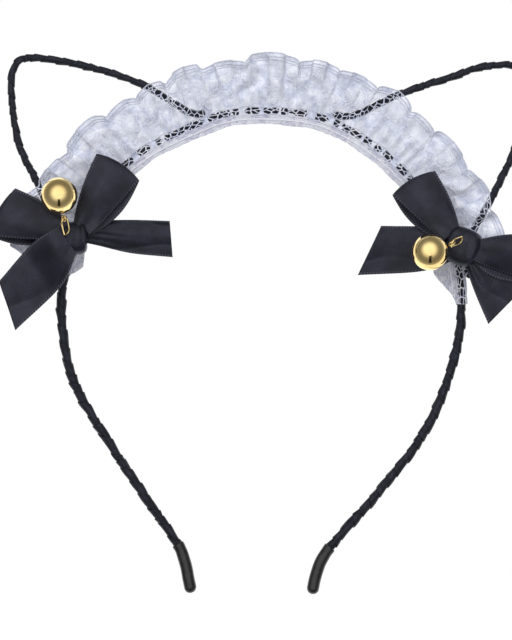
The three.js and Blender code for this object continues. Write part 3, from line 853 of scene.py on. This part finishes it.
above = step_between(nodes, links, out, *RUFFLE_STARTS)
below = without(step_between(nodes, links, out, *HEADER_STARTS))
weft = step_between(nodes, links, waves(nodes, links, out, 9.0), -0.95, -0.5)
header = of_lace("MAXIMUM", weft, HEADER_COVER)
alpha = of_lace("MULTIPLY", windows, without(of_lace("MAXIMUM", above, below)))
alpha = of_lace("ADD", alpha, of_lace("MULTIPLY", ruffle, above))
alpha = of_lace("ADD", alpha, of_lace("MULTIPLY", header, below), clamp=True)
links.new(alpha, shader.inputs["Alpha"])

cloudy = ramp(
    nodes,
    links,
    grain(nodes, links, 0.3, 5, flat),
    (0.3, (0.36, 0.39, 0.52)),
    (0.5, (0.56, 0.59, 0.73)),
    (0.68, (0.80, 0.82, 0.91)),
)
strands = ramp(
    nodes,
    links,
    grain(nodes, links, 1.0, 4, scaled(nodes, links, flat, (0.3, 3.4))),
    (0.35, (0.27, 0.28, 0.38)),
    (0.5, (0.46, 0.47, 0.58)),
    (0.65, (0.62, 0.63, 0.72)),
)
ribs = of_lace("MULTIPLY_ADD", waves(nodes, links, spread, 9.0), 0.22, 0.42)
tone = mixed(nodes, links, below, cloudy, strands)
bright = mixed(nodes, links, of_lace("MULTIPLY", petals, ribs), tone, RAISED_WHITE)
links.new(bright, shader.inputs["Base Color"])
stitch_rows = of_lace("MULTIPLY_ADD", waves(nodes, links, spread, 14.0), 0.25, 1.0)
relief = of_lace("ADD", of_lace("MULTIPLY", petals, stitch_rows), of_lace("MULTIPLY", open_net, 0.5))
bumped(nodes, links, relief, 0.22 * MM, shader, 0.8)
lace.data.materials.append(white_lace)
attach(lace, "crown")
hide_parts("lace_trim")


def spun(name, rough, specular, grains, detail, dark, light, depth):
    """The material of a spun thread or cord: uneven plies between a dark and a light shade."""
    material, nodes, links, shader = paint(name, rough, 0.0, specular)
    ply = grain(nodes, links, grains, detail)
    coloured(nodes, links, shader, ply, (0.3, dark), (0.7, light))
    bumped(nodes, links, ply, depth, shader)
    return material


lace_cord = spun("lace_cord", 0.7, 0.3, 2400, 3, (0.36, 0.38, 0.47), (0.62, 0.64, 0.73), 0.08 * MM)
flower_cord = spun("flower_cord", 0.7, 0.3, 2400, 3, (0.66, 0.69, 0.82), (0.84, 0.86, 0.93), 0.08 * MM)
white_thread = spun("white_thread", 0.6, 0.3, 3000, 2, (0.6, 0.61, 0.7), (0.8, 0.81, 0.87), 0.06 * MM)


def joined(name, parts):
    """Several pieces made into one object."""
    bpy.ops.object.select_all(action="DESELECT")
    for part in parts:
        part.select_set(True)
    bpy.context.view_layer.objects.active = parts[0]
    bpy.ops.object.join()
    parts[0].name = name
    parts[0].data.name = name
    return parts[0]


def lace_line(u, out, lift):
    """A cord's path over the lace."""
    return Line(on_lace(u, out, lift), 0.45 * MM)


def outline_cord(u, out, radius, lift=0.12 * MM, sides=6):
    """One thin cord sewn along the lace."""
    return tube("cord", lace_line(u, out, lift), radius, sides=sides, step=0.5 * MM)


THICK_CORD = 0.2 * MM
SECOND_CORD = 0.14 * MM
THIN_CORD = 0.11 * MM
PETAL_CORD = 0.1 * MM
SECOND_CORD_AT = 0.93  # shares of the way out to the scalloped edge
THIRD_CORD_AT = 0.88

u = np.linspace(0.2 * MM, LACE_LENGTH - 0.2 * MM, 620)
edge_cords = [
    outline_cord(u, lace_edge(u), THICK_CORD, 0.02 * MM),
    outline_cord(u, lace_edge(u) * SECOND_CORD_AT, SECOND_CORD),
    outline_cord(u, lace_edge(u) * THIRD_CORD_AT, THIN_CORD),
    outline_cord(u, 1.6 * MM + 0.25 * MM * np.sin(u * 640), THIN_CORD),
]
edges = joined("lace_edge_cords", edge_cords)
edges.data.materials.append(lace_cord)

raised = []
hand = np.random.default_rng(5)
t = np.linspace(0, 2 * math.pi, 30)
for middle in np.arange(6 * MM, LACE_LENGTH - 16 * MM, 8.4 * MM):
    middle = middle + hand.uniform(-1.5, 1.5) * MM
    centre_out = hand.uniform(7.0, 12.5) * MM
    turn, count, size = hand.uniform(0, 6.3), hand.integers(4, 7), hand.uniform(0.6, 1.0)
    for leaf in range(count):
        angle = turn + leaf * 2 * math.pi / count
        petal_size = size * hand.uniform(0.7, 1.15)
        long_way = petal_size * (2.3 * MM * (1 + np.cos(t)) + 0.6 * MM)
        wide_way = petal_size * 1.5 * MM * np.sin(t) * (1 - 0.3 * np.cos(t))
        du = long_way * math.cos(angle) - wide_way * math.sin(angle)
        dz = long_way * math.sin(angle) + wide_way * math.cos(angle)
        petal_out = np.clip(centre_out + dz, 2 * MM, 16 * MM)
        raised.append(outline_cord(middle + du, petal_out, PETAL_CORD, sides=5))
    curl = np.linspace(0.3, 1.0, 30)
    reach = 2.4 * MM * curl * size
    curl_along = middle + 3.9 * MM + reach * np.cos(7 * curl + turn)
    curl_out = 5.0 * MM + reach * np.sin(7 * curl + turn)
    raised.append(outline_cord(curl_along, curl_out, PETAL_CORD, sides=5))
flowers = joined("lace_flower_cords", raised)
flowers.data.materials.append(flower_cord)

for piece in (edges, flowers):
    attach(piece, "crown")

GATHERING_AT = -2.7 * MM
u = np.linspace(4 * MM, LACE_LENGTH - 4 * MM, 500)


def two_ply(S, A):
    """A thread of two strands twisted together."""
    return 0.2 * MM * (1 + 0.28 * np.cos(2 * (A - S * 2800)))


gathering_line = lace_line(u, np.full(u.shape, GATHERING_AT), 0.12 * MM)
gather = tube("gathering_thread_run", gathering_line, two_ply, sides=10, step=0.3 * MM)
gather.data.materials.append(white_thread)
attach(gather, "crown")
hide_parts("gathering_thread")

# ---------------------------------------------------------------- bows
# Each bow is one strip of black satin ribbon, 16 mm wide: two loops and two cut tails that spread
# from a knot. The left knot is tied, and the right one is a band wrapped round. A few stitches
# through the lace hold each bow on.

RIBBON_WIDTH = 16 * MM
RIBBON_THICK = 0.3 * MM
SELVEDGE = (0.445, 0.465)  # where the woven edge starts, in widths from the ribbon's middle
TICKS = 105.0  # how closely the woven edge's ticks follow each other
TICK_COLOUR = (0.085, 0.085, 0.11)

satin_ribbon, nodes, links, shader = paint("satin_ribbon", 0.36, 0.0, 0.5, Sheen_Weight=0.08)
shader.inputs["Sheen Roughness"].default_value = 0.35
shader.inputs["Sheen Tint"].default_value = (0.55, 0.62, 1.0, 1)
shader.inputs["Specular Tint"].default_value = COOL_SHINE
flat = on_flat_cloth(nodes)
weave = placed(nodes, links, satin_weave, Cloth=flat, Threads=1500, Picks=16)
links.new(ramp(nodes, links, weave["Shade"], (0.3, 0.40), (0.7, 0.20)), shader.inputs["Roughness"])
across, along, _ = split_up(nodes, links, flat)
from_middle = maths(nodes, links, "ABSOLUTE", maths(nodes, links, "SUBTRACT", across, 0.5))
selvedge = step_between(nodes, links, from_middle, *SELVEDGE)
ticks = maths(nodes, links, "MULTIPLY", waves(nodes, links, along, TICKS), selvedge)
# Painted sheen: the black satin's colour turns lighter in broad patches, the same patches where it is
# glossier. This stands in for the soft light that satin catches.
black_with_painted_sheen = ramp(nodes, links, weave["Shade"], (0.3, (0.002, 0.002, 0.004)), (0.7, (0.010, 0.010, 0.019)))
ticked = mixed(nodes, links, maths(nodes, links, "MULTIPLY", ticks, 0.8, clamp=True), black_with_painted_sheen, TICK_COLOUR)
links.new(ticked, shader.inputs["Base Color"])
height = maths(nodes, links, "MULTIPLY_ADD", weave["Height"], 0.35, ticks)
bumped(nodes, links, height, 0.07 * MM, shader, 0.8)


def satin_strip(name, node, places, flat_places):
    """A piece of ribbon from a grid of places, given the ribbon's thickness."""
    piece = sheet_mesh(name, places, flat_places)
    thick = piece.modifiers.new("thickness", "SOLIDIFY")
    thick.thickness = RIBBON_THICK
    thick.offset = 0
    piece.data.materials.append(satin_ribbon)
    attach(piece, "crown")
    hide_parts(node)
    return piece


def grid(down, over):
    """Two grids of shares: down the strip and over its width."""
    return np.meshgrid(down, np.linspace(0, 1, over), indexing="ij")


def edge_curve(knot, corners, count):
    """One long edge of a strip, through corners given in millimetres from the knot."""
    line = evenly(np.array([[knot[0] + x * MM, 0, knot[2] + z * MM] for x, z in corners]), 0.3 * MM)
    run = length_along(line)
    return at_lengths(np.linspace(0, run[-1], count), run, line)


TAIL_SAG = 2.1 * MM
TAIL_WAVE = 1.4 * MM
TAIL_PLEAT = 0.55 * MM
TAIL_LIFT = 0.75 * MM


def tail(name, node, knot, upper, lower, curl, seed, over=0.0, rows=60, columns=26):
    """A loose end of ribbon between its two long edges, with a slow wave along it.

    over is how far its root stands forward, where it crosses another piece of the bow."""
    one_edge, other_edge = edge_curve(knot, upper, rows), edge_curve(knot, lower, rows)
    L, X = grid(np.linspace(0, 1, rows), columns)
    places = one_edge[:, None] * (1 - X[..., None]) + other_edge[:, None] * X[..., None]
    wave = TAIL_SAG * np.sin(X * math.pi + curl) * (0.35 + 0.65 * L) + TAIL_WAVE * np.sin(L * 3.8 + seed) * L
    pleat = 0 if over else np.abs(TAIL_PLEAT * np.cos(X * math.pi * 4 + seed)) * (1 - L) ** 2
    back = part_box(node)[1][1]
    places[..., 1] = back - TAIL_LIFT - np.abs(wave) - pleat - over * (1 - smooth(0.12, 0.55, L))
    middles = (one_edge + other_edge) / 2
    length = np.linalg.norm(middles[-1] - middles[0])
    return satin_strip(name, node, places, np.stack([X, L * length / RIBBON_WIDTH], axis=-1))


LOOP_PINCH = 3.2  # half the loop's width at the knot, in millimetres
LOOP_BULGE = 1.1
UNDERSIDE_BULGE = 1.7
FOLD_BOW = 1.7
LOOP_PLEAT = 0.6 * MM
LOOP_CLEARANCE = 0.25 * MM
FOLD_FROM = 0.6  # the share of a loop's length where it starts to turn back


def loop(name, node, knot, root, fold, seed, under, rows=45, columns=28):
    """A loop of ribbon: out from the knot in front, over a soft fold, and back behind.

    root and fold are in millimetres from the knot; under is the side on which its underside shows."""
    root, one, two = (np.array([x, z]) for x, z in (root, *fold))
    middle_of_fold = (one + two) / 2
    length = np.linalg.norm(middle_of_fold - root)
    outward = (middle_of_fold - root) / length
    across = (two - one) / np.linalg.norm(two - one)
    low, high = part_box(node)[0][1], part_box(node)[1][1]
    half_depth = (high - low) / 2 - LOOP_CLEARANCE
    reach = 1 - (1 - np.linspace(0, 1, rows)) ** 1.7
    rise = 0.42 + 0.58 * smooth(0, FOLD_FROM, reach)
    turning = np.sqrt(np.clip(1 - ((reach - FOLD_FROM) / (1 - FOLD_FROM)) ** 2, 0, 1))
    full = np.where(reach < FOLD_FROM, rise, turning)
    sweep = np.concatenate([reach, reach[::-1][1:]])
    A, X = grid(sweep, columns)
    F = grid(np.concatenate([-full, full[::-1][1:]]), columns)[0]
    bulge = np.sin(math.pi * A**0.9)
    underside = UNDERSIDE_BULGE * np.where(F > 0, 1.0, -0.45) * bulge
    one_out = LOOP_BULGE * bulge + (underside if under < 0 else 0)
    two_out = LOOP_BULGE * bulge + (underside if under > 0 else 0)
    start_one, start_two = root - across * LOOP_PINCH, root + across * LOOP_PINCH
    spread_one = start_one + (one - start_one) * A[..., None] - across * one_out[..., None]
    spread_two = start_two + (two - start_two) * A[..., None] + across * two_out[..., None]
    level = spread_one * (1 - X[..., None]) + spread_two * X[..., None]
    level = level + outward * (FOLD_BOW * np.sin(math.pi * X) ** 0.8 * A**3)[..., None]
    pleats = LOOP_PLEAT * np.cos(X * math.pi * 3 + seed) * (1 - A) ** 1.5
    puffed = 1 - 0.8 * np.abs(2 * X - 1 + 0.3 * np.sin(seed)) ** 1.7 * smooth(0, 0.35, A)
    y = (low + high) / 2 + F * half_depth * puffed - np.sign(F) * pleats * 0.4 * (np.abs(F) < 0.98)
    x, z = knot[0] + level[..., 0] * MM, knot[2] + level[..., 1] * MM
    places = np.stack([x, np.clip(y, low, high), z], axis=-1)
    run = np.cumsum(np.abs(np.diff(sweep, prepend=sweep[0])))
    along = grid(run * length * MM / RIBBON_WIDTH, columns)[0]
    return satin_strip(name, node, places, np.stack([X, along], axis=-1))


KNOT_CRUMPLE = 0.42 * MM
KNOT_SINK = 0.1 * MM


def knot_piece(name, node, tilt, crease, taper, seed, rows=40, columns=64):
    """The ribbon drawn tight round the bow's middle, creased where it was pulled."""
    low, high = (np.array(corner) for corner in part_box(node))
    centre, size = box_middle(node), (high - low) / 2
    round_the_knot = np.linspace(0, 2 * math.pi, columns, endpoint=False)
    X, A = np.meshgrid(np.linspace(-1, 1, rows), round_the_knot, indexing="ij")
    round_off = (1 - np.abs(X) ** 6) ** 0.5
    tall, deep = np.sin(A), -np.cos(A)
    tall = np.sign(tall) * np.abs(tall) ** 0.75
    width = size[0] * (0.97 - taper * (tall + 1) / 2 * 0.9)
    crumple = np.sin(crease * X * (1.35 + 0.55 * tall) * math.pi + seed) * KNOT_CRUMPLE
    across = np.sign(X) * np.abs(X) ** 0.9 * width
    up = tall * size[2] * (0.62 + 0.38 * round_off) * (1 - 0.12 * X**2)
    forward = deep * size[1] * (0.55 + 0.45 * round_off) + np.where(deep < 0, crumple * round_off, 0)
    places = np.stack(
        [
            centre[0] + across * math.cos(tilt) - up * math.sin(tilt),
            np.clip(centre[1] + forward, low[1] - KNOT_SINK, high[1]),
            centre[2] + across * math.sin(tilt) + up * math.cos(tilt),
        ],
        axis=-1,
    )
    faces = [tuple(reversed(face)) for face in skin(rows, columns) + two_ends(rows, columns)]
    flat_places = np.stack([(X + 1) / 2 * 0.5 + 0.25, A / 2], axis=-1).reshape(-1, 2)
    on_cloth = [flat_places[list(face)] for face in faces]
    piece = solid(name, places.reshape(-1, 3), faces, crease=55, on_cloth=on_cloth)
    piece.data.materials.append(satin_ribbon)
    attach(piece, "crown")
    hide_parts(node)


# Places are in millimetres from each knot's middle, to the right and up.
LEFT_LOOPS = {
    "inner": {"root": (2.0, 2.6), "fold": ((7.3, 28.8), (22.0, 19.5)), "seed": 0.4, "under": 1},
    "outer": {"root": (-3.2, 2.2), "fold": ((-29.5, 0.6), (-20.4, 17.0)), "seed": 1.5, "under": -1},
}
RIGHT_LOOPS = {
    "inner": {"root": (-3.4, 3.4), "fold": ((-23.9, 17.5), (-9.2, 25.8)), "seed": 2.2, "under": -1},
    "outer": {"root": (3.6, -1.2), "fold": ((26.6, 4.1), (22.8, -12.3)), "seed": 0.9, "under": 1},
}
LEFT_TAILS = {
    "inner": {
        "upper": [(1.6, 4.6), (8.0, 5.9), (20, 6.2), (32.5, 5.8)],
        "lower": [(1.8, -1.4), (8.0, -2.6), (19, -5.2), (33.5, -6.6)],
        "curl": 0.3,
        "seed": 1.2,
    },
    "outer": {
        "upper": [(-5.6, 4.0), (-14.8, -2.0), (-26.3, -15.0)],
        "lower": [(0.6, -5.4), (-4.9, -16.5), (-20.6, -31.8)],
        "curl": 0.9,
        "seed": 0.2,
        "over": 5.4 * MM,
    },
}
RIGHT_TAILS = {
    "inner": {
        "upper": [(-2.0, 0.5), (-6.0, 3.4), (-10.8, 6.6), (-27.8, 7.1)],
        "lower": [(-2.2, -4.1), (-8.0, -6.8), (-16.3, -8.8), (-35.8, -9.8)],
        "curl": 0.5,
        "seed": 2.1,
    },
    "outer": {
        "upper": [(4.8, -3.1), (9.8, -4.5), (21.2, -14.5)],
        "lower": [(0.8, -5.8), (4.5, -16.0), (9.0, -26.7)],
        "curl": 1.1,
        "seed": 0.7,
    },
}

for side, loops, tails in (("left", LEFT_LOOPS, LEFT_TAILS), ("right", RIGHT_LOOPS, RIGHT_TAILS)):
    knot = box_middle(f"{side}_bow_knot")
    for where, shape in loops.items():
        made = loop(f"{side}_{where}_loop", f"{side}_bow_{where}_loop", knot, **shape)
    for where, shape in tails.items():
        made = tail(f"{side}_{where}_tail", f"{side}_bow_{where}_tail", knot, **shape)
knot_piece("left_knot_tied", "left_bow_knot", math.radians(-6), 1.2, 0.22, 0.6)
knot_piece("right_knot_band", "right_bow_knot", math.radians(-22), 1.1, -0.12, 2.0)

black_thread = spun("black_thread", 0.6, 0.35, 3000, 2, (0.006, 0.006, 0.007), (0.03, 0.03, 0.034), 0.06 * MM)


def rounded_copy(name, node, material, body, levels=2):
    """A small solid made again with round, even surfaces."""
    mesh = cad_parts[node].data.copy()
    mesh.materials.clear()
    b = bmesh.new()
    b.from_mesh(mesh)
    bmesh.ops.remove_doubles(b, verts=b.verts, dist=0.01 * MM)
    bmesh.ops.join_triangles(b, faces=b.faces, angle_face_threshold=0.7, angle_shape_threshold=0.9)
    b.to_mesh(mesh)
    b.free()
    mesh.shade_smooth()
    piece = bpy.data.objects.new(name, mesh)
    bpy.context.scene.collection.objects.link(piece)
    finer = piece.modifiers.new("rounder", "SUBSURF")
    finer.levels = finer.render_levels = levels
    piece.data.materials.append(material)
    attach(piece, body)
    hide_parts(node)


for side in ("left", "right"):
    rounded_copy(f"{side}_bow_stitches", f"{side}_bow_stitch", white_thread, "crown")
    rounded_copy(f"{side}_bell_thread_loop", f"{side}_bell_thread", black_thread, "crown")

# ---------------------------------------------------------------- jingle bells
# Each bell is two pressed brass cups closed round a loose steel pellet, and plated a bright gold.
# A wire eye is fixed in the upper cup, a dumb-bell slot lets the sound out of the lower one, and
# an open jump ring hangs the bell on a thread loop sewn to the knot.

BELL_WALL = 0.45 * MM
BELL_SEAM = 0.003  # radians left open on each side of the seam
POLE = 0.02  # radians from the axis where a cup's profile starts
SLOT_HALF = 0.55 * MM
EYE_RADIUS = 1.1 * MM
SLOT_REACH = 4.6 * MM

gold_brass, nodes, links, shader = paint("gold_brass", 0.06, 1.0)
haze = grain(nodes, links, 160, 4)
scratches = grain(nodes, links, 2600, 2)
coloured(nodes, links, shader, haze, (0.3, (0.80, 0.58, 0.24)), (0.7, (0.93, 0.74, 0.36)))
links.new(ramp(nodes, links, scratches, (0.4, 0.045), (0.75, 0.12)), shader.inputs["Roughness"])
bumped(nodes, links, haze, 0.03 * MM, shader, 0.25)

pellet_steel, nodes, links, shader = paint("pellet_steel", 0.35, 1.0)
hammered = grain(nodes, links, 1100, 2)
coloured(nodes, links, shader, hammered, (0.3, (0.3, 0.3, 0.31)), (0.7, (0.5, 0.5, 0.5)))
bumped(nodes, links, hammered, 0.1 * MM, shader)


def lathed(name, centre, axis, profile, sides=72):
    """A closed round part turned from a profile of (along the axis, radius) points."""
    across = np.cross(axis, -FRONT)
    across /= np.linalg.norm(across)
    third = np.cross(axis, across)
    points = [
        centre + axis * a + r * (across * math.cos(turn) + third * math.sin(turn))
        for a, r in profile
        for turn in np.linspace(0, 2 * math.pi, sides, endpoint=False)
    ]
    faces = []
    for i in range(len(profile)):
        here, after = i * sides, (i + 1) % len(profile) * sides
        for j in range(sides):
            k = (j + 1) % sides
            faces.append((here + j, here + k, after + k, after + j))
    return solid(name, points, faces)


def cup_profile(outer, inner, steps=26):
    """Outside and inside arcs of a pressed cup, from its pole to the seam."""
    rise = np.linspace(POLE, math.pi / 2 - BELL_SEAM, steps)
    outside = [(outer * math.cos(a), outer * math.sin(a)) for a in rise]
    return outside + [(inner * math.cos(a), inner * math.sin(a)) for a in rise[::-1]]


def slot_cutter(name, centre, axis, radius):
    """A dumb-bell bar that cuts the bell's slot: a straight slit with a round hole at each end."""
    across = np.cross(axis, -FRONT)
    across /= np.linalg.norm(across)
    third = np.cross(axis, across)
    turn = math.asin(SLOT_HALF / EYE_RADIUS)
    outline = [
        (end * (SLOT_REACH + EYE_RADIUS * math.cos(a)), end * EYE_RADIUS * math.sin(a))
        for end in (1, -1)
        for a in np.linspace(-math.pi + turn, math.pi - turn, 22)
    ]
    count = len(outline)
    points = [
        centre + axis * reach + across * x + third * y
        for reach in (0.25 * radius, 1.2 * radius)
        for x, y in outline
    ]
    faces = [(i, (i + 1) % count, count + (i + 1) % count, count + i) for i in range(count)]
    faces += [tuple(reversed(range(count))), tuple(range(count, 2 * count))]
    return solid(name, points, faces)


def settle(piece):
    """Makes the piece's modifiers part of its mesh."""
    shown = piece.evaluated_get(bpy.context.evaluated_depsgraph_get())
    mesh = bpy.data.meshes.new_from_object(shown)
    piece.modifiers.clear()
    piece.data = mesh


for side in ("left", "right"):
    corners = np.array([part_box(f"{side}_bell_{cup}_shell") for cup in ("upper", "lower")])
    low, high = corners[:, 0].min(axis=0), corners[:, 1].max(axis=0)
    centre, bell_radius = (low + high) / 2, (high[1] - low[1]) / 2
    eye = box_middle(f"{side}_bell_shank")
    axis = (centre - eye) / np.linalg.norm(centre - eye)
    profile = cup_profile(bell_radius, bell_radius - BELL_WALL)
    cups = {
        "upper": lathed(f"{side}_upper_cup", centre, -axis, profile),
        "lower": lathed(f"{side}_lower_cup", centre, axis, profile),
    }
    cutter = slot_cutter(f"{side}_slot_cutter", centre, axis, bell_radius)
    cut = cups["lower"].modifiers.new("slot", "BOOLEAN")
    cut.operation, cut.solver, cut.object = "DIFFERENCE", "EXACT", cutter
    settle(cups["lower"])
    bpy.data.objects.remove(cutter)
    for cup, piece in cups.items():
        piece.data.materials.append(gold_brass)
        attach(piece, f"{side}_bell")
        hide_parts(f"{side}_bell_{cup}_shell")
    rounded_copy(f"{side}_bell_eye", f"{side}_bell_shank", gold_brass, f"{side}_bell")
    rounded_copy(f"{side}_ring", f"{side}_jump_ring", gold_brass, f"{side}_ring")
    rounded_copy(f"{side}_pellet_ball", f"{side}_bell_pellet", pellet_steel, f"{side}_pellet")

# ---------------------------------------------------------------- studio
# The headband is held up over a white table, in the soft light of a white room. The gap leaves room
# for the tips, which sink as the legs spread.

EYE_DISTANCE = 2.2
SEEN_HEIGHT = 0.2212
SENSOR = 36
AIM = (-0.0021, 0.0, -0.0680)
TIPS_SINK = 15 * MM
TABLE_RADIUS = 0.34
TABLE_SIDES = 96
TABLE_GLOW = 0.55
ROOM_LIGHT = 1.4
BRIGHT_SIDE = (0.08, 0.95, -0.30)
STAND_DARKENING = -0.9

floor_z = cad_box[0][2] - TIPS_SINK
round_table = np.linspace(0, 2 * math.pi, TABLE_SIDES, endpoint=False)
table_edge = [(TABLE_RADIUS * math.cos(a), TABLE_RADIUS * math.sin(a), floor_z) for a in round_table]
floor_mesh = bpy.data.meshes.new("floor")
floor_mesh.from_pydata(table_edge, [], [tuple(range(TABLE_SIDES))])
floor = bpy.data.objects.new("floor", floor_mesh)
bpy.context.scene.collection.objects.link(floor)
pale_table, nodes, links, shader = paint("pale_table", 0.8, 0.0, 0.2)
shader.inputs["Emission Color"].default_value = (1, 1, 1, 1)
coloured(nodes, links, shader, grain(nodes, links, 3, 2), (0.3, 0.62), (0.7, 0.64))
seen_directly = nodes.new("ShaderNodeLightPath").outputs["Is Camera Ray"]
links.new(maths(nodes, links, "MULTIPLY", seen_directly, TABLE_GLOW), shader.inputs["Emission Strength"])
floor_mesh.materials.append(pale_table)
floor.visible_glossy = False

world = bpy.data.worlds.new("white_room")
bpy.context.scene.world = world
world.use_nodes = True
nodes, links = world.node_tree.nodes, world.node_tree.links
nodes.clear()
leave = nodes.new("ShaderNodeOutputWorld")
seen, lit = nodes.new("ShaderNodeBackground"), nodes.new("ShaderNodeBackground")
choose, ray = nodes.new("ShaderNodeMixShader"), nodes.new("ShaderNodeLightPath")
links.new(ray.outputs["Is Camera Ray"], choose.inputs[0])
links.new(lit.outputs[0], choose.inputs[1])
links.new(seen.outputs[0], choose.inputs[2])
links.new(choose.outputs[0], leave.inputs["Surface"])
seen.inputs["Color"].default_value = (1, 1, 1, 1)
towards = nodes.new("ShaderNodeTexCoord").outputs["Generated"]
to_bright_side = nodes.new("ShaderNodeVectorMath")
to_bright_side.operation = "DOT_PRODUCT"
to_bright_side.inputs[1].default_value = BRIGHT_SIDE
links.new(towards, to_bright_side.inputs[0])
room = ramp(
    nodes,
    links,
    maths(nodes, links, "MULTIPLY_ADD", to_bright_side.outputs["Value"], 0.5, 0.5),
    (0.0, 1.0),
    (0.07, 0.95),
    (0.15, 0.55),
    (0.24, 0.22),
    (0.42, 0.16),
    (0.6, 0.3),
    (0.7, 1.0),
    (1.0, 1.0),
)
# A dark stand in front, under the headband, shows as a short dark bar low on each bell.
right, back, up = split_up(nodes, links, towards)
narrow = step_between(nodes, links, maths(nodes, links, "ABSOLUTE", right), 0.10, 0.16, top=0.0, bottom=1.0)
lowered = step_between(nodes, links, up, -0.46, -0.34, top=0.0, bottom=1.0)
in_front = step_between(nodes, links, back, -0.4, -0.2, top=0.0, bottom=1.0)
stand = maths(nodes, links, "MULTIPLY", maths(nodes, links, "MULTIPLY", narrow, lowered), in_front)
unshaded = maths(nodes, links, "MULTIPLY_ADD", stand, STAND_DARKENING, 1.0)
links.new(maths(nodes, links, "MULTIPLY", room, unshaded), lit.inputs["Color"])
lit.inputs["Strength"].default_value = ROOM_LIGHT


def soft_light(name, place, power, size):
    """A square soft box that faces the headband."""
    light = bpy.data.lights.new(name, "AREA")
    light.energy, light.size = power, size
    lamp = bpy.data.objects.new(name, light)
    lamp.location = place
    lamp.visible_glossy = False
    lamp.rotation_euler = (Vector(AIM) - Vector(place)).to_track_quat("-Z", "Y").to_euler()
    bpy.context.scene.collection.objects.link(lamp)


soft_light("soft_box_left", (-0.9, -1.0, 0.9), 9.0, 0.7)
soft_light("soft_box_right", (1.1, -0.9, 0.5), 4.0, 0.6)

camera = bpy.data.cameras.new("camera")
camera.sensor_fit = "VERTICAL"
camera.sensor_height = SENSOR
camera.lens = SENSOR * EYE_DISTANCE / SEEN_HEIGHT
camera.clip_start, camera.clip_end = 0.01, 20
eye = bpy.data.objects.new("camera", camera)
eye.location = (AIM[0], -EYE_DISTANCE, AIM[2])
eye.rotation_euler = (math.pi / 2, 0, 0)
bpy.context.scene.collection.objects.link(eye)
bpy.context.scene.camera = eye
bpy.context.scene.view_settings.view_transform = "Standard"
